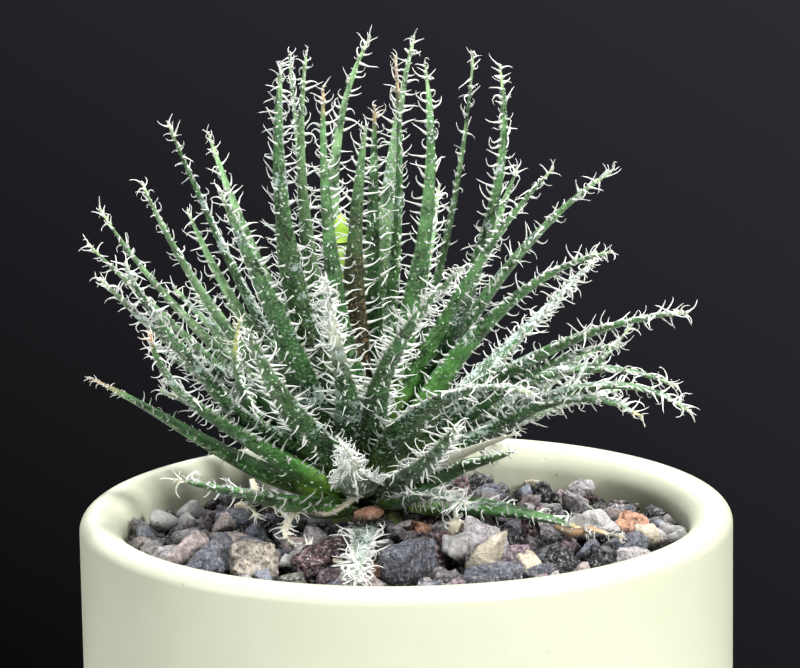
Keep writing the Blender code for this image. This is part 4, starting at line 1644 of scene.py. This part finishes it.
@dataclass
class Gravel:
    """Crushed volcanic rock over the soil: chips listed one by one, then chips poured at random."""

    rim: float
    bore: float = 34.75 * MM
    front: float = 3.2 * MM
    back: float = 4.6 * MM
    slope: float = 30.0 * MM
    floor_depth: float = 3.8 * MM
    fines_depth: float = 3.4 * MM
    fines_foot: float = 14.4 * MM
    darkest_painted_shade: float = 0.005
    brightest: float = 0.93
    seed: int = 77
    tries: int = 14
    overlap: float = 0.86
    proportions: tuple[float, float, float] = (1.08, 1.0, 0.92)
    swell: float = 1.05
    chip_scale: float = 0.6
    chip_sunk: float = 0.30
    chip_reach: float = 0.46
    chip_rows: int = 34
    chip_columns: int = 52
    chip_facets: int = 10
    roughness: tuple[tuple[float, float], ...] = ((3.1, 0.030), (7.3, 0.018), (15.0, 0.012))
    grades: tuple[Grade, ...] = (
        Grade("gravel_middling", 430, 1.0, 2.2, 0.9, 13, 20, 8),
        Grade("gravel_small", 180, 0.5, 1.0, -0.8, 8, 12, 7),
    )
    chips: tuple[Chip, ...] = (
        Chip(-1, -20.5, 5.5, 5, 8, 50, Rock.SLATE, 3.0, 26),
        Chip(-18, -18.5, 5.5, 5.5, 7, 0, Rock.TAN, 1.6, 5),
        Chip(-23.5, -15.5, 6.5, 5, 7.5, 65, Rock.SLATE, 2.0, 34),
        Chip(9, -15.5, 5.5, 4.5, 9.5, 10, Rock.ASH, 1.5, 26),
        Chip(9, -19.5, 4.4, 2.8, 8, 30, Rock.CREAM, 3.2, 30),
        Chip(10, -22, 6.5, 3, 3.5, -8, Rock.SLATE, 0.3, 24),
        Chip(5.8, -17.5, 2.8, 2.6, 3.4, 90, Rock.QUARTZ, 3.0, 20),
        Chip(3.5, -15, 4.5, 4, 8, 60, Rock.SCORIA, 3.0, 12),
        Chip(-10.5, -19, 5.5, 5, 8, 0, Rock.SCORIA, 2.4, 11),
        Chip(-8.5, -22, 4, 3, 3.5, 20, Rock.MAUVE, 0.3, 14),
        Chip(-13.5, -22, 3.5, 3, 3.5, 30, Rock.MOSS, 0.3, 11),
        Chip(-12, -13, 4.5, 4, 5.5, 30, Rock.ASH, 0.8, 14),
        Chip(-17, -12, 5, 4, 5, 10, Rock.ROSE, 0.7, 14),
        Chip(-26, -11, 7, 3, 4, 32, Rock.ROSE, 1.2, 16),
        Chip(-21, -5, 3.5, 6, 5, 25, Rock.ROSE, 1.2, 18),
        Chip(-29, -12, 4, 3, 3.5, 15, Rock.ASH, 0.5, 18),
        Chip(-4.2, -5.5, 3.6, 2.2, 1.8, 0, Rock.RUST, 4.2, 8),
        Chip(13, -14, 4, 3, 5, 0, Rock.MAUVE, 0.7, 14),
        Chip(15, -19, 2.6, 2.4, 5, 30, Rock.CREAM, 0.6, 16),
        Chip(15.5, -20.5, 3.4, 3, 4, 0, Rock.SLATE, 0.3, 24),
        Chip(19, -17, 5, 4, 6, 15, Rock.COAL, 0.5, 14),
        Chip(22.5, -16, 4.5, 3, 5, -30, Rock.COAL, 0.4, 16),
        Chip(22, -4, 6.5, 2.6, 3.6, -28, Rock.QUARTZ, 1.9, 20),
        Chip(27.5, 0, 5, 3, 3.5, -20, Rock.RUST, 1.0, 12),
        Chip(27, -9, 5.5, 4, 5, 20, Rock.SLATE, 0.6, 24),
        Chip(29.5, -6, 2.5, 2, 3, 20, Rock.CREAM, 0.8, 16),
    )


    def level(self, y: Array) -> Array:
        """Height of the gravel's top: it falls from front to back over the slope."""
        t = np.clip(y / self.slope, 0.0, 1.0)
        return self.rim - (self.front + (self.back - self.front) * t * t * (3 - 2 * t))

    def stones(self, batch: Batch, rng: np.random.Generator) -> Patch:
        """Chipped stones, one for each centre.

        A stone is a ball cut by flat facets: in direction d its radius is
        (sum of max(0, n.d / h)^p)^(-1/p) over the facets' normals n and distances h, so edges
        are sharper as p grows.  Three rows of sines in the direction roughen it.  Painted shade
        darkens what lies deep in the bed and each stone's own underside.

        Args:
            batch: The stones.
            rng: Source of chance.

        Returns:
            The stones as closed surfaces.
        """
        count, rows, columns = len(batch.centre), batch.rows, batch.columns
        lat = math.pi * (np.arange(rows) + 1) / (rows + 1)
        ring = turned(np.stack([np.sin(lat), -np.cos(lat)], 1), columns).reshape(-1, 3)
        ways = np.concatenate([ring, [[0.0, 0.0, -1.0], [0.0, 0.0, 1.0]]])
        normal = unit(rng.normal(0, 1, (count, batch.facets, 3)))
        distance = rng.uniform(0.52, 0.98, (count, batch.facets))
        facing = np.maximum(np.einsum("vd,kfd->kvf", ways, normal) / distance[:, None], 1e-3)
        box = np.maximum(np.abs(ways), 1e-3)
        power = batch.sharpness[:, None]
        total = (facing ** power[..., None]).sum(2) + (box[None] ** power[..., None]).sum(2)
        radius = total ** (-1.0 / power)
        for octave, strength in self.roughness:
            wave = rng.normal(0, octave, (count, 3, 3))
            phase = rng.uniform(0, 2 * math.pi, (count, 1, 3))
            swell = np.sin(np.einsum("vd,kwd->kvw", ways, wave) + phase).sum(2)
            radius = radius * (1 + strength * swell)
        shape = ways[None] * radius[..., None] * batch.size[:, None]
        shape = np.einsum("kvd,ked->kve", shape, spins(batch.turn)) + batch.centre[:, None]
        side = int(math.ceil(math.sqrt(count)))
        cell = np.stack([np.arange(count) % side, np.arange(count) // side], 1) / side
        rings = shape[:, :-2].reshape(count, rows, columns, 3)
        span = np.array([0.88 / side, 0.88 / side])
        patch = tubes(rings, shape[:, -2], shape[:, -1], cell + 0.06 / side, span)
        each = rows * columns + 2
        values = zip(*[rock.value for rock in batch.rocks])
        tint, grain, pores, _ = [np.array(value) for value in values]
        tone = rng.uniform(*batch.tone, (count, 1))
        tint = tint * np.minimum(tone, self.brightest / tint.max(1, keepdims=True))
        above = patch.points[:, 2] - self.level(patch.points[:, 1])
        share = (shape[..., 2] - batch.centre[:, None, 2]).ravel()
        share = share / np.repeat(batch.size.min(1), each)
        # painted shade: the tint is darkened deep in the bed and on each stone's underside, where
        # the chips shade each other
        painted_shade_factor = eased(-1.0 * MM, 1.0 * MM, above) * eased(-0.6, 0.4, share)
        painted_shade_factor = self.darkest_painted_shade + (1.0 - self.darkest_painted_shade) * painted_shade_factor
        patch.marks = {
            "tint": np.repeat(tint, each, 0) * painted_shade_factor[:, None],
            "grain": np.repeat(grain, each),
            "pores": np.repeat(pores, each),
        }
        return patch

    def poured(
        self, radii: Array, rng: np.random.Generator, ceiling: float, held: list[Array]
    ) -> Array:
        """Drops balls of these radii one by one and lets each come to rest.

        A ball tries a few places and keeps the one where it lies lowest.  It rests on the
        floor of the bed or in part on the balls already there, but never on a listed chip,
        whose top is raised out of reach.

        Args:
            radii: Radii, in metres.
            rng: Source of chance.
            ceiling: How far above the gravel's level a ball's top may stand.
            held: Rows of x, y, z and radius already there; new ones are added.

        Returns:
            Rows of x, y, z and radius that found a place.
        """
        placed = []
        for radius in radii:
            reach = (self.bore - 0.9 * radius) * np.sqrt(rng.random(self.tries))
            angle = rng.uniform(0, 2 * math.pi, self.tries)
            x, y = reach * np.cos(angle), reach * np.sin(angle)
            others = np.array(held)
            gap = np.hypot(x[:, None] - others[None, :, 0], y[:, None] - others[None, :, 1])
            near = self.overlap * (radius + others[None, :, 3])
            rest = others[None, :, 2] + np.sqrt(np.maximum(near**2 - gap**2, 0.0))
            rest = np.where(gap < near, rest, -1.0)
            by_hand = slice(0, len(self.chips))
            rest[:, by_hand] += (gap < 0.9 * others[None, :, 3])[:, by_hand]
            floor = self.level(y) - self.floor_depth + radius
            z = np.maximum(rest.max(1), floor)
            over = z + 0.7 * radius - self.level(y)
            best = int(np.argmin(over))
            if over[best] < ceiling:
                row = np.array([x[best], y[best], z[best], radius])
                held.append(row)
                placed.append(row)
        return np.array(placed)

    def build(self) -> None:
        """Makes the listed chips, those poured round them and the bed below."""
        rng = np.random.default_rng(self.seed)
        material = Stone().material()
        held = self.build_chips(material, rng)
        kinds = np.array(list(Rock), dtype=object)
        weights = np.array([rock.value[3] for rock in Rock])
        for grade in self.grades:
            radii = np.sort(rng.uniform(grade.least, grade.most, grade.number))[::-1] * MM
            balls = self.poured(radii, rng, grade.ceiling * MM, held)
            found = len(balls)
            stretch = rng.uniform(0.72, 1.3, (found, 3)) * np.array(self.proportions)
            rocks = list(rng.choice(kinds, found, p=weights / weights.sum()))
            batch = Batch(
                centre=balls[:, :3],
                size=balls[:, 3:] * stretch * self.swell,
                turn=rng.uniform(-math.pi, math.pi, (found, 3)),
                rocks=rocks,
                sharpness=rng.uniform(18, 44, found),
                rows=grade.rows,
                columns=grade.columns,
                facets=grade.facets,
                tone=(0.6, 2.8),
            )
            patch = self.stones(batch, rng)
            make_piece(grade.name, patch, material, ("gravel_bed",), 34.0)
            LOG.info("%s: %d stones", grade.name, found)
        self.build_bed()

    def build_chips(self, material: bpy.types.Material, rng: np.random.Generator) -> list[Array]:
        """Makes the listed chips.

        Args:
            material: The rock material.
            rng: Source of chance.

        Returns:
            A row of x, y, z and radius for each, which the poured chips lie round.
        """
        count = len(self.chips)
        place = np.array([(c.x, c.y) for c in self.chips]) * MM
        size = np.array([(c.long, c.wide, c.tall) for c in self.chips])
        lift = np.array([c.lift for c in self.chips])
        height = self.level(place[:, 1]) + (lift - self.chip_sunk * size[:, 2]) * MM
        centre = np.column_stack([place, height])
        tilt = rng.normal(0, 0.2, count), rng.normal(0, 0.2, count)
        batch = Batch(
            centre=centre,
            size=size * self.chip_scale * MM,
            turn=np.stack([*tilt, np.radians([c.turn for c in self.chips])], 1),
            rocks=[c.rock for c in self.chips],
            sharpness=np.array([c.sharpness for c in self.chips], float),
            rows=self.chip_rows,
            columns=self.chip_columns,
            facets=self.chip_facets,
            tone=(1.15, 1.5),
        )
        stood_for = ("gravel_bed", "stone_dark_block", "stone_tan_round")
        make_piece("gravel_large", self.stones(batch, rng), material, stood_for, 32.0)
        radius = size.mean(1) * self.chip_reach * MM
        return [np.array([*c, r]) for c, r in zip(centre, radius)]

    def build_bed(self) -> None:
        """A dark disc of fines under the chips, its top a little below their level.

        Its top ripples by 0.4 mm times sin 900x cos 800y + 0.6 sin(2100x + 1700y).
        """
        share = np.linspace(0.04, 1.0, 26)
        flat = np.stack([(self.bore - 0.3 * MM) * share, np.zeros(len(share))], 1)
        lower = turned(flat, 72)
        x, y = lower[..., 0], lower[..., 1]
        ripple = 0.4 * MM * (np.sin(x * 900) * np.cos(y * 800) + 0.6 * np.sin(x * 2100 + y * 1700))
        upper = np.stack([x, y, self.level(y) - self.fines_depth + ripple], -1)[::-1]
        lower[..., 2] = self.rim - self.fines_foot
        rings = np.concatenate([lower, upper])[None]
        first, last = rings[:, 0].mean(1), rings[:, -1].mean(1)
        patch = tubes(rings, first, last, MAP_CORNER, MAP_SPAN)
        dark, pale = linear(14, 11, 10), linear(52, 44, 42)
        fines = PlainMottle("gravel_fines", dark, pale, 0.0012, 0.0006, 0.9)
        make_piece("gravel_fines", patch, fines.material(), ("gravel_bed",))


# Stem, bud, soil


@dataclass
class Heart:
    """What shows between the leaves: the stem and crown, the soil below and the flower bud."""

    crown: Array
    bud_stations: int = 44
    bud_sides: int = 20
    bud_start: float = 0.60
    bud_radius: float = 1.45 * MM
    stalk_radius: float = 0.42 * MM

    def build(self) -> None:
        """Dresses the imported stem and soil, and shapes the bud."""
        stem = PlainMottle("stem_bark", linear(44, 50, 28), linear(100, 112, 60), 0.0013, 0.0004)
        dark, light = linear(30, 22, 17), linear(72, 56, 44)
        soil = PlainMottle("potting_soil", dark, light, 0.0016, 0.0008, 0.92)
        for node, finish in (("stem_and_root", stem), ("potting_soil", soil)):
            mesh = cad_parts[node].data
            mesh.materials.clear()
            mesh.materials.append(finish.material())
        LOG.info("stem and soil dressed")
        self.build_bud()

    def build_bud(self) -> None:
        """A lime bud on a thin stalk: it swells as sin(pi t^1.5)^0.7 over its own share t.

        Six shallow scales ripple round it, and its end is blunt.
        """
        line = Skeleton.from_node("flower_bud", self.crown).refined(self.bud_stations)
        s = np.linspace(0.0, 1.0, self.bud_stations)
        t = np.clip((s - self.bud_start) / (1.0 - self.bud_start), 0.0, 1.0)
        swell = np.sin(math.pi * np.minimum(t, 0.985) ** 1.5) ** 0.7
        radius = self.stalk_radius * (1.0 - eased(0.0, 1.0, t)) + self.bud_radius * swell
        angle = corners_of(self.bud_sides)
        ripple = 1.0 + 0.05 * np.cos(3 * angle[None] + 7.0 * t[:, None]) * swell[:, None]
        around = spokes(line.across, line.upper, angle)
        rings = line.centre[:, None] + around * (radius[:, None] * ripple)[..., None]
        ends = line.centre[None, 0], line.centre[None, -1]
        patch = tubes(rings[None, :-1], *ends, MAP_CORNER, MAP_SPAN)
        lime, pale = linear(168, 214, 62), linear(214, 246, 134)
        finish = PlainMottle("bud_skin", lime, pale, 0.0014, 0.00012, 0.5)
        make_piece("flower_bud_scales", patch, finish.material(), ("flower_bud",))


# Studio


class Lamp(NamedTuple):
    """A square soft lamp: place and side in metres, power in watts."""

    name: str
    place: tuple[float, float, float]
    power: float
    side: float
    colour: Colour


@dataclass
class Studio:
    """A pale round stand, a dark surround for the camera, soft lamps and the camera."""

    rim: float
    aside: float = -0.4 * MM
    rise: float = 21.55 * MM
    distance: float = 0.5
    drop: float = 11.6
    roll: float = -0.87
    lens: float = 185.0
    sensor: float = 36.0
    stand_radius: float = 0.165
    cloth_low: Colour = linear(9, 10, 8)
    cloth_high: Colour = linear(45, 44, 51)
    cloth_slope: tuple[float, float, float] = (2.2, 0.0, 3.6)
    cloth_start: float = -1.22
    cloth_end: float = -0.22
    soft_colour: Colour = (0.86, 0.93, 1.0)
    soft_strength: float = 0.045
    lamps: tuple[Lamp, ...] = (
        Lamp("key", (0.50, -0.70, 0.52), 8.2, 0.2, (1.0, 0.99, 0.97)),
        Lamp("top", (0.20, -0.10, 1.0), 10.8, 0.2, (1.0, 1.0, 0.98)),
        Lamp("fill", (-0.75, -0.45, 0.4), 4.1, 0.6, (0.95, 0.98, 1.0)),
        Lamp("rear", (-0.2, 0.8, 0.7), 5.4, 0.5, (1.0, 1.0, 1.0)),
    )

    def target(self) -> Vector:
        """The place above the pot's rim that the camera and the lamps face."""
        return Vector((self.aside, 0.0, self.rim + self.rise))

    def camera(self) -> None:
        """Stands off from the target by the distance, looking down at it by the drop."""
        drop, roll = math.radians(self.drop), math.radians(self.roll)
        forward = Vector((0.0, math.cos(drop), -math.sin(drop)))
        right = Vector((1.0, 0.0, 0.0))
        up = Vector((0.0, math.sin(drop), math.cos(drop)))
        rolled_right = math.cos(roll) * right + math.sin(roll) * up
        rolled_up = -math.sin(roll) * right + math.cos(roll) * up
        data = bpy.data.cameras.new("studio_camera")
        data.lens = self.lens
        data.sensor_width = self.sensor
        data.clip_start = 0.01
        data.clip_end = 10.0
        camera = bpy.data.objects.new("studio_camera", data)
        turn = Matrix((rolled_right, rolled_up, -forward)).transposed().to_4x4()
        turn.translation = self.target() - forward * self.distance
        camera.matrix_world = turn
        bpy.context.scene.collection.objects.link(camera)
        bpy.context.scene.camera = camera

    def stand(self) -> None:
        """A pale disc under the pot."""
        edge = [[0.2, -4.0], [0.994, -4.0], [1.0, -3.0], [1.0, -1.0], [0.994, 0.0], [0.2, 0.0]]
        outline = np.array(edge) * np.array([self.stand_radius, MM])
        ends = np.array([[0.0, 0.0, -4.0 * MM], [0.0, 0.0, 0.0]])
        patch = tubes(turned(outline, 128)[None], ends[:1], ends[1:], MAP_CORNER, MAP_SPAN)
        mesh = bpy.data.meshes.new("stand")
        mesh.from_pydata(patch.points.tolist(), [], patch.quads.tolist() + patch.tris.tolist())
        dark, pale = linear(208, 206, 200), linear(214, 212, 207)
        finish = PlainMottle("stand_board", dark, pale, 0.02, 0.00002, 0.7)
        mesh.materials.append(finish.material())
        stand = bpy.data.objects.new("stand", mesh)
        bpy.context.scene.collection.objects.link(stand)

    def light(self, lamp: Lamp) -> None:
        """Hangs a lamp so that it faces the plant.

        Args:
            lamp: The lamp.
        """
        data = bpy.data.lights.new(lamp.name, "AREA")
        data.energy = lamp.power
        data.size = lamp.side
        data.color = lamp.colour
        hung = bpy.data.objects.new(lamp.name, data)
        hung.location = lamp.place
        toward = self.target() - Vector(lamp.place)
        hung.rotation_euler = toward.to_track_quat("-Z", "Y").to_euler()
        bpy.context.scene.collection.objects.link(hung)

    def surround(self) -> None:
        """A soft grey light from all round, which the camera and reflections see as dark cloth.

        The cloth's shade runs from low to high with the dot product of its slope and the place.
        """
        world = bpy.data.worlds.new("surround")
        bpy.context.scene.world = world
        world.use_nodes = True
        tree = world.node_tree
        tree.nodes.clear()
        path = tree.nodes.new("ShaderNodeLightPath")
        seen = path.outputs["Is Camera Ray"]
        for kind in ("Is Glossy Ray", "Is Transmission Ray"):
            either = tree.nodes.new("ShaderNodeMath")
            either.operation = "MAXIMUM"
            tree.links.new(seen, either.inputs[0])
            tree.links.new(path.outputs[kind], either.inputs[1])
            seen = either.outputs[0]
        where = tree.nodes.new("ShaderNodeTexCoord")
        slope = tree.nodes.new("ShaderNodeVectorMath")
        slope.operation = "DOT_PRODUCT"
        tree.links.new(where.outputs["Generated"], slope.inputs[0])
        slope.inputs[1].default_value = self.cloth_slope
        height = tree.nodes.new("ShaderNodeMapRange")
        tree.links.new(slope.outputs["Value"], height.inputs[0])
        height.inputs[1].default_value = self.cloth_start
        height.inputs[2].default_value = self.cloth_end
        cloth = tree.nodes.new("ShaderNodeMix")
        cloth.data_type = "RGBA"
        tree.links.new(height.outputs[0], cloth.inputs[0])
        cloth.inputs[6].default_value = (*self.cloth_low, 1.0)
        cloth.inputs[7].default_value = (*self.cloth_high, 1.0)
        dark = tree.nodes.new("ShaderNodeBackground")
        tree.links.new(cloth.outputs[2], dark.inputs[0])
        soft = tree.nodes.new("ShaderNodeBackground")
        soft.inputs[0].default_value = (*self.soft_colour, 1.0)
        soft.inputs[1].default_value = self.soft_strength
        both = tree.nodes.new("ShaderNodeMixShader")
        tree.links.new(seen, both.inputs[0])
        tree.links.new(soft.outputs[0], both.inputs[1])
        tree.links.new(dark.outputs[0], both.inputs[2])
        output = tree.nodes.new("ShaderNodeOutputWorld")
        tree.links.new(both.outputs[0], output.inputs[0])

    def build(self) -> None:
        """Sets the stage."""
        self.camera()
        self.stand()
        self.surround()
        for lamp in self.lamps:
            self.light(lamp)
        bpy.context.scene.view_settings.view_transform = "Standard"


def main() -> None:
    """Builds every sub-assembly."""
    logging.basicConfig(level=logging.INFO, format="%(message)s")
    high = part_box("pot")[1]
    crown_low, crown_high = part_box("stem_and_root")
    crown = np.array([(crown_low.x + crown_high.x) / 2, (crown_low.y + crown_high.y) / 2, high.z])
    Studio(rim=high.z).build()
    Pot(radius=high.x, height=high.z).build()
    Gravel(rim=high.z).build()
    Heart(crown=crown).build()
    Rosette(crown=crown).build()


if __name__ == "__main__":
    main()
